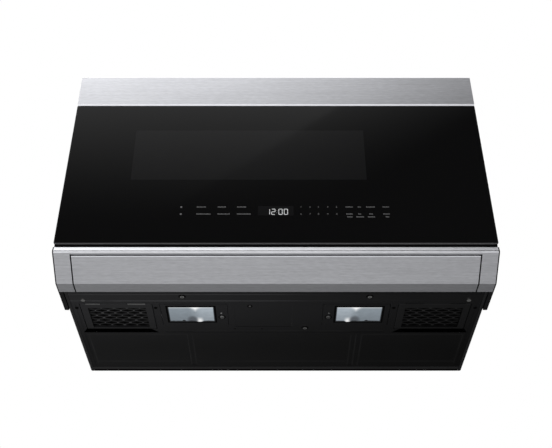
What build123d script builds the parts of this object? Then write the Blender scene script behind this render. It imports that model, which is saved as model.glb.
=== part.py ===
from build123d import *

import math
import os

# Over-the-range microwave oven with a full-width glass door, a slide-out vent, two grease
# filters and two cooktop lamps underneath.
# Frame: origin on the wall plane at the middle of the bottom edge, +X to the right as seen
# from the front, +Y into the wall, +Z up. Everything is in millimetres.

# ---------------------------------------------------------------- driving dimensions
WIDTH = 759.0
BODY_WIDTH = 744.0
HEIGHT = 438.0
DEPTH = 386.0
BOARD_THICK = 1.6
SHEET = 0.8
BASE_SHEET = 1.2
WALL_SHEET = 1.2
PLASTIC = 3.0
GLASS = 4.0
BEZEL_SHEET = 2.0
BEZEL_CAP = 2.0
CASE_BEND = 4.0
CASE_FLANGE = 7.0

# Front: door, top strip and the slanted lower bezel.
STRIP_BOTTOM = 366.4
STRIP_TOP = 439.6
GLASS_BOTTOM = 47.5
GLASS_TOP = 364.2
FRONT_PLATE_Y = -345.0
DOOR_BACK_Y = -350.0
BEZEL_TOP = 42.0
BEZEL_NOSE = (-385.7, 30.5)
BEZEL_FOOT_Y = -331.0
BEZEL_LIP_Y = -304.6
BASE_FRONT_Y = -303.6
BEZEL_RIM = 5.5
PANEL_START = 8.5
PANEL_HALF = 347.85
BEZEL_SIDE = 350.15

# Oven cavity, inside faces.
CAVITY_X = (-318.0, 212.0)
CAVITY_Z = (92.0, 330.0)
CAVITY_BACK_Y = -24.0
CAVITY_BEND = 14.0
TABLE_X = sum(CAVITY_X) / 2
TABLE_Y = -184.0

# Underside: filters and lamps (centres in X), and their openings.
FILTER_X = {"left": -285.5, "right": 283.5}
FILTER_SIZE = (129.0, 89.0)
FILTER_Y = -217.5
MESH_SIZE = (104.0, 70.0)
MESH_Y = -214.0
LAMP_X = {"left": -153.0, "right": 150.0}
LAMP_Y = -225.2
LENS_SIZE = (84.0, 54.0)
SIDE_SIGN = {"left": -1, "right": 1}

# Door hinge, blower axis and fan axis.
HINGE_X = -370.0
HINGE_Y = -352.0
PIN_RADIUS = 3.0
RUNNING_GAP = 0.05
BLOWER_Y = -70.0
BLOWER_Z = 381.0
FAN_X = 270.0
FAN_Z = 276.0

# Latch, at the right edge of the door.
LATCH_X = 341.0
HOOK_Z = (110.0, 310.0)

# Exhaust duct connection on the top.
DUCT_WIDTH = 254.0
DUCT_DEPTH = 82.5
DUCT_Y = -58.75
DUCT_TOP = 462.0
FLAP_PIVOT_Y = -21.0
FLAP_PIVOT_Z = 448.5

# ---------------------------------------------------------------- values worked out
HALF = WIDTH / 2
BODY = BODY_WIDTH / 2
CASE_INSIDE = BODY - SHEET
BASE_HALF = BODY - CASE_FLANGE - 0.4
FRONT_Y = -DEPTH
GLASS_BACK_Y = FRONT_Y + GLASS
PLATE_BACK_Y = FRONT_PLATE_Y + SHEET
NOTCH_Z = BEZEL_TOP + 1.4
SLOPE = math.dist(BEZEL_NOSE, (BEZEL_FOOT_Y, 0))
SLOPE_DIR = ((BEZEL_FOOT_Y - BEZEL_NOSE[0]) / SLOPE, -BEZEL_NOSE[1] / SLOPE)
SLOPE_IN = (-SLOPE_DIR[1], SLOPE_DIR[0])

os.makedirs("parts", exist_ok=True)


# ---------------------------------------------------------------- helpers
def block(x, y, z, mode=Mode.ADD):
    """Adds or cuts a straight-sided block given by its spans along X, Y and Z."""
    spans = [sorted(span) for span in (x, y, z)]
    with Locations(tuple((low + high) / 2 for low, high in spans)):
        Box(*(high - low for low, high in spans), mode=mode)


def rod(start, direction, radius, length, mode=Mode.ADD):
    """Adds or cuts a round bar that starts at a point and runs along a direction."""
    with Locations(Plane(origin=start, z_dir=direction).location):
        Cylinder(radius, length, align=(Align.CENTER, Align.CENTER, Align.MIN), mode=mode)


def profile_x(points, x, mode=Mode.ADD):
    """Adds or cuts a profile of (y, z) points drawn out along X over a span."""
    low, high = sorted(x)
    with BuildSketch(Plane.YZ.offset(low)) as outline:
        Polygon(*points, align=None)
    extrude(outline.sketch, amount=high - low, mode=mode)


def profile_z(points, z, mode=Mode.ADD):
    """Adds or cuts a profile of (x, y) points drawn up along Z over a span."""
    low, high = sorted(z)
    with BuildSketch(Plane.XY.offset(low)) as outline:
        Polygon(*points, align=None)
    extrude(outline.sketch, amount=high - low, mode=mode)


def screw(place, direction, head_radius=3.8, head=1.2, shank=5.0):
    """Adds a low-headed screw; the shank runs along the direction from the seat point."""
    out = tuple(-value for value in direction)
    rod(place, out, head_radius, head)
    rod(place, direction, 1.9, shank)


def slope_point(along, inward=0.0):
    """Gives a point (y, z) on the bezel's slanted face, or inside it by a depth."""
    return (
        BEZEL_NOSE[0] + along * SLOPE_DIR[0] + inward * SLOPE_IN[0],
        BEZEL_NOSE[1] + along * SLOPE_DIR[1] + inward * SLOPE_IN[1],
    )


def save(builder, name):
    """Labels a finished piece and writes it."""
    builder.part.label = name
    export_step(builder.part, f"parts/{name}.step")


# ---------------------------------------------------------------- cabinet shell
CABLE_X, CABLE_Y = 320.0, -60.0
GLAND_NECK, GLAND_BORE = 8.0, 4.5
GLAND_REACH = 8.0
TOP_BOLT_X, TOP_BOLT_Y = 330.0, -150.0
TOP_BOLT_RADIUS = 3.2
SIDE_SCREW_Z = (80.0, 220.0, 360.0)
SIDE_SCREW_Y = -16.0
SCREW_HOLE = 2.1

with BuildPart() as case_wrapper:
    with BuildSketch(Plane.XZ):
        with Locations((0, HEIGHT / 2)):
            RectangleRounded(BODY_WIDTH, HEIGHT, CASE_BEND)
            inside = (2 * CASE_INSIDE, HEIGHT - 2 * SHEET, CASE_BEND - SHEET)
            RectangleRounded(*inside, mode=Mode.SUBTRACT)
        Rectangle(2 * (BODY - CASE_FLANGE), 4 * SHEET, mode=Mode.SUBTRACT)
    extrude(amount=-PLATE_BACK_Y)
    block((-BODY, BODY), (PLATE_BACK_Y, BASE_FRONT_Y - 0.4), (-1, NOTCH_Z), Mode.SUBTRACT)
    duct_hole = (DUCT_WIDTH - 2, DUCT_DEPTH - 2)
    with Locations((0, DUCT_Y, HEIGHT)):
        Box(*duct_hole, 6 * SHEET, mode=Mode.SUBTRACT)
    rod((CABLE_X, CABLE_Y, HEIGHT - 5), (0, 0, 1), GLAND_NECK + 0.1, 10, Mode.SUBTRACT)
    for side in (-1, 1):
        hole = (side * TOP_BOLT_X, TOP_BOLT_Y, HEIGHT - 5)
        rod(hole, (0, 0, 1), TOP_BOLT_RADIUS, 10, Mode.SUBTRACT)
        for z in SIDE_SCREW_Z:
            rod((side * (BODY - 5), SIDE_SCREW_Y, z), (side, 0, 0), SCREW_HOLE, 10, Mode.SUBTRACT)
save(case_wrapper, "case_wrapper")

BACK_Y = (-8.0 - SHEET, -8.0)
BASE_BACK_Y = -18.6
BASE_FLANGE = 9.0
HOOK_TAB_X = 150.0
HOOK_TAB_Z = (15.0, 17.0)
HOOK_HALF = 20.0
HOOK_GAP = 1.0
HOOK_END_Y = -22.0
BACK_FLANGE_Y = -24.0
with BuildPart() as back_panel:
    with BuildSketch(Plane.XZ.offset(-BACK_Y[1])):
        with Locations((0, HEIGHT / 2)):
            RectangleRounded(2 * CASE_INSIDE - 0.4, HEIGHT - 2 * SHEET - 0.4, CASE_BEND)
    extrude(amount=SHEET)
    block((-BASE_HALF, BASE_HALF), (-18.0, BACK_Y[1]), (0, SHEET + 0.3))
    for side in (-1, 1):
        flange = (side * (CASE_INSIDE - 0.2), side * (CASE_INSIDE - 0.2 - SHEET))
        block(flange, (BACK_FLANGE_Y, BACK_Y[0]), (20, 420))
        hole_half = HOOK_HALF + HOOK_GAP
        tab_hole = (side * HOOK_TAB_X - hole_half, side * HOOK_TAB_X + hole_half)
        tab_z = (HOOK_TAB_Z[0] - HOOK_GAP, HOOK_TAB_Z[1] + HOOK_GAP)
        block(tab_hole, (BACK_Y[0] - 3, BACK_Y[1] + 2), tab_z, Mode.SUBTRACT)
        for z in SIDE_SCREW_Z:
            start = (side * (CASE_INSIDE - 5), SIDE_SCREW_Y, z)
            rod(start, (side, 0, 0), SCREW_HOLE, 10, Mode.SUBTRACT)
save(back_panel, "back_panel")

# Wall plate: fixed to the wall studs; its two hooks carry the back of the cabinet.
WALL_BOLT_X, WALL_BOLT_Z = 609.6, 300.0
WALL_BOLT_MID_Z = 219.0
WALL_BOLT_RADIUS = 3.5
WALL_PLATE_TOP = 430.0
WALL_WINDOW = (150.0, 190.0)
WALL_WINDOW_X, WALL_WINDOW_Z = 190.0, 225.0
with BuildPart() as wall_plate:
    block((-BASE_HALF, BASE_HALF), (-WALL_SHEET, 0), (0, WALL_PLATE_TOP))
    for side in (-1, 1):
        hook = (side * HOOK_TAB_X - HOOK_HALF, side * HOOK_TAB_X + HOOK_HALF)
        block(hook, (HOOK_END_Y, -WALL_SHEET), HOOK_TAB_Z)
        with Locations((side * WALL_WINDOW_X, 0, WALL_WINDOW_Z)):
            Box(WALL_WINDOW[0], 10, WALL_WINDOW[1], mode=Mode.SUBTRACT)
    with BuildSketch(Plane.XZ.offset(-2)):
        with Locations((0, WALL_BOLT_MID_Z)):
            with GridLocations(WALL_BOLT_X, WALL_BOLT_Z, 2, 2):
                Circle(WALL_BOLT_RADIUS)
    extrude(amount=6, both=True, mode=Mode.SUBTRACT)
save(wall_plate, "wall_plate")


# Two tabs on the front edge of each filter lie in notches of the base plate.
FRONT_TABS = ((-53.0, -20.5), (27.5, 54.5))
TAB_REACH = 3.0
TAB_GAP = 0.4
TAB_THICK = 2.0


def filter_opening(name):
    """Cuts a grease filter's seat with the flared finger gap behind it."""
    x, sign = FILTER_X[name], SIDE_SIGN[name]
    half = FILTER_SIZE[0] / 2 + 0.8
    front = FILTER_Y - FILTER_SIZE[1] / 2 - 0.8
    back = FILTER_Y + FILTER_SIZE[1] / 2 + 0.8
    block((x - half, x + half), (front, back), (-1, 3), Mode.SUBTRACT)
    outline = [(66.5, back - 0.1), (73.5, -158), (-68.5, -158), (-53.5, back - 0.1)]
    profile_z([(x + sign * across, y) for across, y in outline], (-1, 3), Mode.SUBTRACT)
    for low, high in FRONT_TABS:
        notch = (x + sign * (low - TAB_GAP), x + sign * (high + TAB_GAP))
        block(notch, (front - TAB_REACH, front + 1), (-1, 3), Mode.SUBTRACT)


LAMP_OUTER, LAMP_INNER = 55.0, 66.0
LAMP_OPEN_Y = (LAMP_Y - 37.4, LAMP_Y + 37.4)


def lamp_span(name, outer, inner):
    """Gives a lamp's X span from distances outside and inside of its centre."""
    return sorted((LAMP_X[name] + SIDE_SIGN[name] * outer, LAMP_X[name] - SIDE_SIGN[name] * inner))


BASE_SCREWS = [(-165, -288.8), (165, -288.8), (-341, -277), (341, -277), (53.7, -176)]
BASE_HOLES = [(-357, -249), (-215.8, -249), (357, -249), (211, -249), (-76, -172), (-26, -172)]
RIB_Y = (-150, -24)
PRESSED_IN = [
    ((-75, 29), (-259, -180)),
    ((-167, -157), RIB_Y),
    ((141, 151), RIB_Y),
    ((-205, 202), (-165, -159)),
    ((-358, -356.4), (-262, -24)),
    ((356.4, 358), (-262, -24)),
]
FRONT_LEDGE_Y = -297.0
BEADS = [(-276.4, -271.6, 0.7), (-297.4, -294.6, 0.4)]
BEAD_HALF = 325.0
FIELD_Y = -273.4
FIELD_STEP = 0.4
EMBOSS = 0.8
with BuildPart() as base_plate:
    block((-BASE_HALF, BASE_HALF), (BASE_FRONT_Y, BASE_BACK_Y), (0, BASE_SHEET))
    for side in (-1, 1):
        flange = (side * BASE_HALF, side * (BASE_HALF - BASE_SHEET))
        block(flange, (BASE_FRONT_Y, BASE_BACK_Y), (BASE_SHEET, BASE_FLANGE))
    for name in FILTER_X:
        filter_opening(name)
        block(lamp_span(name, LAMP_OUTER, LAMP_INNER), LAMP_OPEN_Y, (-1, 3), Mode.SUBTRACT)
    # The front ledge and the field behind the screws are pressed in a little; the bare label
    # field, the ribs and the two side folds are pressed in further.
    block((-BODY, BODY), (BASE_FRONT_Y - 1, FRONT_LEDGE_Y), (-1, FIELD_STEP), Mode.SUBTRACT)
    block((-BODY, BODY), (FIELD_Y, BASE_BACK_Y + 1), (-1, FIELD_STEP), Mode.SUBTRACT)
    for x_span, y_span in PRESSED_IN:
        block(x_span, y_span, (-1, EMBOSS), Mode.SUBTRACT)
    # Two low beads run along the front.
    for front, back, depth in BEADS:
        bead = [(front, EMBOSS), (front, 0), (front + 1.2, -depth), (back - 1.2, -depth)]
        profile_x(bead + [(back, 0), (back, EMBOSS)], (-BEAD_HALF, BEAD_HALF))
    for x, y in BASE_SCREWS:
        rod((x, y, -1), (0, 0, 1), SCREW_HOLE, 4, Mode.SUBTRACT)
    for x, y in BASE_HOLES:
        rod((x, y, -1), (0, 0, 1), 1.5, 4, Mode.SUBTRACT)
save(base_plate, "base_plate")

VENT_HALF = 165.0
VENT_Z = (372.0, 430.0)
ARM_SLOT_X = (-369.4, -355.4)
ARM_Z = {"upper": (355.0, 357.5), "lower": (50.5, 53.0)}
with BuildPart() as front_plate:
    with BuildSketch(Plane.XZ.offset(-PLATE_BACK_Y)):
        with Locations((0, (NOTCH_Z + HEIGHT) / 2)):
            RectangleRounded(BODY_WIDTH, HEIGHT - NOTCH_Z, 3)
        with Locations((TABLE_X, sum(CAVITY_Z) / 2)):
            opening = (CAVITY_X[1] - CAVITY_X[0], CAVITY_Z[1] - CAVITY_Z[0])
            RectangleRounded(*opening, CAVITY_BEND, mode=Mode.SUBTRACT)
        with Locations((0, sum(VENT_Z) / 2)):
            RectangleRounded(2 * VENT_HALF, VENT_Z[1] - VENT_Z[0], 4, mode=Mode.SUBTRACT)
        for z in HOOK_Z:
            with Locations((LATCH_X, z)):
                RectangleRounded(12, 26, 2, mode=Mode.SUBTRACT)
        for low, high in ARM_Z.values():
            with Locations((sum(ARM_SLOT_X) / 2, (low + high) / 2)):
                slot = (ARM_SLOT_X[1] - ARM_SLOT_X[0], high - low + 0.8)
                Rectangle(*slot, mode=Mode.SUBTRACT)
    extrude(amount=SHEET)
save(front_plate, "front_plate")

# Top strip: folded steel cover of the upper vent, with its outlet slots on top.
STRIP_SHEET = 1.5
STRIP_CHAMFER = 2.4
OUTLET_SLOT_Y = -364.0
OUTLET_PITCH, OUTLET_COUNT = 13.0, 46
with BuildPart() as top_strip:
    block((-HALF, HALF), (FRONT_Y, FRONT_PLATE_Y), (STRIP_BOTTOM, STRIP_TOP))
    long_edges = top_strip.edges().filter_by(Axis.X).group_by(Axis.Y)[0].sort_by(Axis.Z)
    chamfer(long_edges[0], STRIP_CHAMFER)
    fillet(top_strip.faces().sort_by(Axis.Y)[0].edges().sort_by(Axis.Z)[-1], 1.2)
    inner = [
        (FRONT_PLATE_Y + 1, STRIP_BOTTOM + STRIP_SHEET),
        (FRONT_Y + STRIP_CHAMFER + 0.6, STRIP_BOTTOM + STRIP_SHEET),
        (FRONT_Y + STRIP_SHEET, STRIP_BOTTOM + STRIP_CHAMFER + 0.6),
        (FRONT_Y + STRIP_SHEET, STRIP_TOP - STRIP_SHEET),
        (FRONT_PLATE_Y + 1, STRIP_TOP - STRIP_SHEET),
    ]
    profile_x(inner, (-HALF + STRIP_SHEET, HALF - STRIP_SHEET), Mode.SUBTRACT)
    with Locations((0, OUTLET_SLOT_Y, STRIP_TOP)):
        with GridLocations(OUTLET_PITCH, 1, OUTLET_COUNT, 1):
            Box(5, 26, 6, mode=Mode.SUBTRACT)
save(top_strip, "top_strip")

# ---------------------------------------------------------------- lower bezel and slide-out vent
BEZEL_END = HALF - BEZEL_CAP
BEZEL_WALL_IN = BEZEL_END - BEZEL_SHEET


def bezel_section(x, inset):
    """Draws the bezel's closed section in the plane at x, inset by a wall."""
    with BuildSketch(Plane.YZ.offset(x)) as section:
        with BuildLine():
            Polyline(
                (BEZEL_LIP_Y, 0),
                (BEZEL_FOOT_Y, 0),
                BEZEL_NOSE,
                (BEZEL_NOSE[0] + 2.7, BEZEL_TOP),
                (BEZEL_LIP_Y, BEZEL_TOP),
                close=True,
            )
        make_face()
        fillet(section.vertices().sort_by(Axis.X)[0], 4.0)
        fillet(section.vertices().group_by(Axis.Y)[-1].sort_by(Axis.X)[0], 2.0)
        if inset:
            offset(amount=-inset, mode=Mode.REPLACE)
    return section.sketch


with BuildPart() as front_bezel:
    extrude(bezel_section(-BEZEL_END, 0), amount=2 * BEZEL_END)
    hollow = bezel_section(-BEZEL_WALL_IN, BEZEL_SHEET)
    extrude(hollow, amount=2 * BEZEL_WALL_IN, mode=Mode.SUBTRACT)
    # Behind the front plate only the lips of the two ends are left.
    inside = (-BEZEL_WALL_IN, BEZEL_WALL_IN)
    block(inside, (BEZEL_LIP_Y - 5, -300), (BEZEL_SHEET, BEZEL_TOP + 1), Mode.SUBTRACT)
    block(inside, (FRONT_PLATE_Y, -300), (BEZEL_TOP - 5, BEZEL_TOP + 1), Mode.SUBTRACT)
    # Opening for the sliding panel, below the rim.
    panel_opening = [
        slope_point(BEZEL_RIM, -4),
        slope_point(BEZEL_RIM, 6),
        (-300, slope_point(BEZEL_RIM, 6)[1]),
        (-300, -12),
        (BEZEL_FOOT_Y, -12),
    ]
    profile_x(panel_opening, (-BEZEL_SIDE, BEZEL_SIDE), Mode.SUBTRACT)
    block((-366, 366), (FRONT_PLATE_Y - 2, FRONT_PLATE_Y), (BEZEL_TOP - 2, BEZEL_TOP + 3))
save(front_bezel, "front_bezel")

# Side trims: black strips that widen the front of the cabinet to the door's width, each with a
# cap over the bezel's end.
TRIM_BACK_Y = -241.7
with BuildPart() as side_trims:
    trim = [
        (FRONT_PLATE_Y, NOTCH_Z),
        (FRONT_PLATE_Y, HEIGHT),
        (TRIM_BACK_Y, HEIGHT),
        (TRIM_BACK_Y, 0),
        (BASE_FRONT_Y - 0.4, 0),
        (BASE_FRONT_Y - 0.4, NOTCH_Z),
    ]
    profile_x(trim, (BODY, HALF))
    outer = side_trims.faces().sort_by(Axis.X)[-1]
    chamfer(outer.edges().filter_by(Axis.Z).sort_by(Axis.Y)[-1], 1.0)
    extrude(bezel_section(BEZEL_END, 0), amount=BEZEL_CAP)
    block((BEZEL_END, HALF), (FRONT_PLATE_Y, BASE_FRONT_Y), (BEZEL_TOP - 5, NOTCH_Z + 1))
    block((BEZEL_END, HALF), (BEZEL_LIP_Y - 1, BASE_FRONT_Y), (0, BEZEL_TOP))
    mirror(about=Plane.YZ)
save(side_trims, "side_trims")

with BuildPart() as vent_panel:
    miter = BEZEL_SHEET * SLOPE_IN[0] / (1 + SLOPE_IN[1])
    inner_foot = (BEZEL_FOOT_Y + miter, BEZEL_SHEET)
    sheet_line = [
        slope_point(PANEL_START),
        (BEZEL_FOOT_Y, 0),
        (BEZEL_LIP_Y, 0),
        (BEZEL_LIP_Y, BEZEL_SHEET),
        inner_foot,
        slope_point(PANEL_START + BEZEL_SHEET, BEZEL_SHEET),
        slope_point(PANEL_START + BEZEL_SHEET, 6),
        slope_point(PANEL_START, 6),
    ]
    profile_x(sheet_line, (-PANEL_HALF, PANEL_HALF))
    top_edge = vent_panel.edges().filter_by(Axis.X).sort_by(Axis.Y)[0]
    fillet(top_edge, 2.0)
save(vent_panel, "vent_panel")

# Tray behind the panel: slotted intake, open at the back, with a runner on each side.
TRAY_HALF = 338.5
TRAY_Z = (2.0, 24.0)
TRAY_WALL = 1.5
RUNNER_Z = (12.0, 16.0)
RUNNER_OUT = 345.6
RUNNER_Y = (-345.0, -175.0)
TRAY_BACK_Y = -272.0
INTAKE_SLOT_Y = -288.0


def inner_slope_y(z, gap=0.0):
    """Gives Y on the back of the slanted panel at a height."""
    slope = SLOPE_DIR[0] / SLOPE_DIR[1]
    return BEZEL_FOOT_Y + slope * z + BEZEL_SHEET / SLOPE_IN[0] + gap


with BuildPart() as vent_tray:
    tray_side = [
        (inner_slope_y(TRAY_Z[0], 0.05), TRAY_Z[0]),
        (inner_slope_y(TRAY_Z[1], 0.05), TRAY_Z[1]),
        (TRAY_BACK_Y, TRAY_Z[1]),
        (TRAY_BACK_Y, TRAY_Z[0]),
    ]
    profile_x(tray_side, (-TRAY_HALF, TRAY_HALF))
    room = (TRAY_HALF - TRAY_WALL, TRAY_Z[0] + TRAY_WALL, TRAY_Z[1] - TRAY_WALL)
    block((-room[0], room[0]), (-400, -260), room[1:], Mode.SUBTRACT)
    for side in (-1, 1):
        block((side * TRAY_HALF, side * RUNNER_OUT), RUNNER_Y, RUNNER_Z)
    with Locations((0, INTAKE_SLOT_Y, TRAY_Z[0])):
        with GridLocations(14, 1, 46, 1):
            Box(6, 22, 6, mode=Mode.SUBTRACT)
save(vent_tray, "vent_tray")

with BuildPart() as vent_rails:
    rail_y = (-300, -168)
    rail_out = CASE_INSIDE - 0.2
    block((346.2, 348.2), rail_y, (10, 18))
    block((339.4, 346.2), rail_y, (10, 11.6))
    block((339.4, rail_out), rail_y, (16.4, 18))
    block((rail_out - SHEET, rail_out), rail_y, (18, 34))
    mirror(about=Plane.YZ)
save(vent_rails, "vent_rails")

# ---------------------------------------------------------------- filters and lamps
FILTER_DEPTH = 8.0
MESH_PITCH = (10.0, 8.4)
MESH_HOLE = (8.0, 4.6)
for name, x in FILTER_X.items():
    sign = SIDE_SIGN[name]
    with BuildPart() as filter_frame:
        with BuildSketch():
            with Locations((x, FILTER_Y)):
                RectangleRounded(*FILTER_SIZE, 2.0)
            with Locations((x, MESH_Y)):
                Rectangle(*MESH_SIZE, mode=Mode.SUBTRACT)
        extrude(amount=FILTER_DEPTH)
        rim = filter_frame.faces().sort_by(Axis.Z)[0].outer_wire().edges()
        chamfer(rim, 0.8)
        edge_y = FILTER_Y - FILTER_SIZE[1] / 2
        for low, high in FRONT_TABS:
            tab = (x + sign * low, x + sign * high)
            block(tab, (edge_y - TAB_REACH, edge_y + 1.5), (FIELD_STEP, FIELD_STEP + TAB_THICK))
    save(filter_frame, f"filter_frame_{name}")
    with BuildPart() as filter_mesh:
        with BuildSketch(Plane.XY.offset(2.0)):
            with Locations((x, MESH_Y)):
                Rectangle(*MESH_SIZE)
                with GridLocations(*MESH_PITCH, 10, 8):
                    RectangleRounded(*MESH_HOLE, 2.0, mode=Mode.SUBTRACT)
        extrude(amount=3.0)
    save(filter_mesh, f"filter_mesh_{name}")

COVER_THICK = 1.5
LENS_TOP = 3.0
CAPTIVE_SCREW = 55.0
for name, x in LAMP_X.items():
    sign = SIDE_SIGN[name]
    cover_x = lamp_span(name, LAMP_OUTER - 1.5, LAMP_INNER - 0.6)
    screw_x = x - sign * CAPTIVE_SCREW
    with BuildPart() as lamp_cover:
        cover_y = (LAMP_OPEN_Y[0] + 0.6, LAMP_OPEN_Y[1] - 0.6)
        block(cover_x, cover_y, (0, COVER_THICK))
        # Rolled outer edge, on which the cover swings.
        edge = (x + sign * (LAMP_OUTER - 1.5), cover_y[0], COVER_THICK / 2)
        rod(edge, (0, 1, 0), COVER_THICK / 2, cover_y[1] - cover_y[0])
        with Locations((x, LAMP_Y, 0)):
            Box(*LENS_SIZE, 8, mode=Mode.SUBTRACT)
        for y in (LAMP_Y - 20, LAMP_Y + 20):
            hook = lamp_span(name, LAMP_OUTER + 6, -46)
            block(hook, (y - 7, y + 7), (COVER_THICK, COVER_THICK + 1))
        screw((screw_x, LAMP_Y + 8.7, 0), (0, 0, 1), shank=6)
    save(lamp_cover, f"lamp_cover_{name}")
    with BuildPart() as lamp_lens:
        with Locations((x, LAMP_Y, 0.2)):
            Box(*LENS_SIZE, LENS_TOP - 0.2, align=(Align.CENTER, Align.CENTER, Align.MIN))
        chamfer(lamp_lens.edges().group_by(Axis.Z)[0], 0.6)
    save(lamp_lens, f"lamp_lens_{name}")

LAMP_WELL = (45.0, 30.0)
LAMP_WELL_TOP = 34.0
with BuildPart() as lamp_housings:
    for name, x in LAMP_X.items():
        y_span = (LAMP_Y - 41, LAMP_Y + 41)
        flange = lamp_span(name, 45, 62)
        block(flange, y_span, (2.8, 4.0))
        for side in (-1, 1):
            block(flange, (LAMP_Y + side * 38, LAMP_Y + side * 41), (BASE_SHEET, 2.8))
        well_x = (x - LAMP_WELL[0], x + LAMP_WELL[0])
        well_y = (LAMP_Y - LAMP_WELL[1], LAMP_Y + LAMP_WELL[1])
        block(well_x, well_y, (4.0, LAMP_WELL_TOP))
        inside_x, inside_y = (well_x[0] + 1, well_x[1] - 1), (well_y[0] + 1, well_y[1] - 1)
        block(inside_x, inside_y, (2.0, LAMP_WELL_TOP - 1), Mode.SUBTRACT)
        hole = (x - SIDE_SIGN[name] * CAPTIVE_SCREW, LAMP_Y + 8.7, 2)
        rod(hole, (0, 0, 1), 2.6, 4, Mode.SUBTRACT)
save(lamp_housings, "lamp_housings")

with BuildPart() as lamp_boards:
    for x in LAMP_X.values():
        board_z = (LAMP_WELL_TOP - 1 - BOARD_THICK, LAMP_WELL_TOP - 1)
        block((x - 32, x + 32), (LAMP_Y - 20, LAMP_Y + 20), board_z)
        with Locations((x, LAMP_Y, 30.9)):
            with GridLocations(20, 20, 3, 2):
                Box(5, 5, 1.0)
save(lamp_boards, "lamp_boards")

# ---------------------------------------------------------------- oven cavity and its parts
PORT_Y, PORT_Z = (-232.0, -148.0), (120.0, 190.0)
CAVITY_LAMP = (-80.0, 290.0)
with BuildPart() as oven_cavity:
    middle = (TABLE_X, sum(CAVITY_Z) / 2)
    opening = (CAVITY_X[1] - CAVITY_X[0], CAVITY_Z[1] - CAVITY_Z[0])
    with BuildSketch(Plane.XZ.offset(-CAVITY_BACK_Y - SHEET)):
        with Locations(middle):
            outside = [side + 2 * SHEET for side in opening]
            RectangleRounded(*outside, CAVITY_BEND + SHEET)
    extrude(amount=-PLATE_BACK_Y + CAVITY_BACK_Y + SHEET)
    with BuildSketch(Plane.XZ.offset(-CAVITY_BACK_Y)):
        with Locations(middle):
            RectangleRounded(*opening, CAVITY_BEND)
    extrude(amount=-PLATE_BACK_Y, mode=Mode.SUBTRACT)
    rod((TABLE_X, TABLE_Y, 80), (0, 0, 1), 8.0, 20, Mode.SUBTRACT)
    block((CAVITY_X[1] - 5, CAVITY_X[1] + 5), PORT_Y, PORT_Z, Mode.SUBTRACT)
    with Locations(Plane(origin=(CAVITY_X[1], *CAVITY_LAMP), z_dir=(1, 0, 0)).location):
        with GridLocations(6, 6, 4, 4):
            Cylinder(1.5, 10, mode=Mode.SUBTRACT)
    with Locations(Plane(origin=(CAVITY_X[0], -300, 280), z_dir=(1, 0, 0)).location):
        with GridLocations(6, 6, 6, 4):
            Cylinder(1.5, 10, mode=Mode.SUBTRACT)
save(oven_cavity, "oven_cavity")

WALL_X = CAVITY_X[1] + SHEET
GUIDE_X = (WALL_X, WALL_X + 40)
GUIDE_Y = (-240.0, -140.0)
TUBE_Y, TUBE_Z = -190.0, 280.0
with BuildPart() as waveguide:
    block(GUIDE_X, GUIDE_Y, (110, 320))
    block((GUIDE_X[0] + 1, GUIDE_X[1] - 1), (GUIDE_Y[0] + 1, GUIDE_Y[1] - 1), (111, 319), Mode.SUBTRACT)
    block((GUIDE_X[0] - 5, GUIDE_X[0] + 5), PORT_Y, PORT_Z, Mode.SUBTRACT)
    rod((GUIDE_X[1] - 5, TUBE_Y, TUBE_Z), (1, 0, 0), 11, 10, Mode.SUBTRACT)
save(waveguide, "waveguide")

with BuildPart() as waveguide_cover:
    cover_y = (PORT_Y[0] - 6, PORT_Y[1] + 6)
    block((CAVITY_X[1] - 1.5, CAVITY_X[1]), cover_y, (PORT_Z[0] - 6, PORT_Z[1] + 6))
    fillet(waveguide_cover.edges().filter_by(Axis.X), 4.0)
save(waveguide_cover, "waveguide_cover")

with BuildPart() as magnetron:
    start = GUIDE_X[1]
    block((start, start + 2), (TUBE_Y - 46, TUBE_Y + 46), (TUBE_Z - 38, TUBE_Z + 38))
    rod((start - 18, TUBE_Y, TUBE_Z), (1, 0, 0), 8, 20)
    rod((start, TUBE_Y, TUBE_Z), (1, 0, 0), 19, 54)
    with Locations((start + 27, TUBE_Y, TUBE_Z)):
        with GridLocations(5, 1, 8, 1):
            Box(0.8, 70, 68)
    for side in (-1, 1):
        block((start + 2, start + 54), (TUBE_Y - 38, TUBE_Y + 38), (TUBE_Z + side * 34, TUBE_Z + side * 36))
    block((start + 52, start + 54), (TUBE_Y - 38, TUBE_Y + 38), (TUBE_Z - 36, TUBE_Z + 36))
    block((start + 54, start + 82), (TUBE_Y - 28, TUBE_Y + 28), (TUBE_Z - 28, TUBE_Z + 28))
save(magnetron, "magnetron")

SHELF_Z = (90.0 - SHEET, 90.0)
with BuildPart() as component_shelf:
    block((WALL_X + 0.3, CASE_INSIDE - 0.3), (PLATE_BACK_Y, -24.5), SHELF_Z)
    block((WALL_X + 0.3, WALL_X + 1.3), (PLATE_BACK_Y, BACK_Y[0] - 0.2), (SHELF_Z[1], 106))
    with Locations((290, -90, SHELF_Z[0])):
        with GridLocations(16, 12, 5, 3):
            Box(10, 5, 6, mode=Mode.SUBTRACT)
save(component_shelf, "component_shelf")

with BuildPart() as high_voltage_transformer:
    core_x, core_z = (258, 348), (SHELF_Z[1] + 2, SHELF_Z[1] + 77)
    block((250, 356), (-118, -62), (SHELF_Z[1], SHELF_Z[1] + 2))
    block(core_x, (-115, -65), core_z)
    for low in (273, 318):
        block((low, low + 15), (-120, -60), (core_z[0] + 15, core_z[1] - 15), Mode.SUBTRACT)
    winding_z = (core_z[0] + 16, core_z[1] - 16)
    block((274, 332), (-132, -48), winding_z)
    vertical = high_voltage_transformer.faces().sort_by(Axis.Y)[0].edges().filter_by(Axis.Z)
    fillet(vertical, 6)
save(high_voltage_transformer, "high_voltage_transformer")

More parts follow.
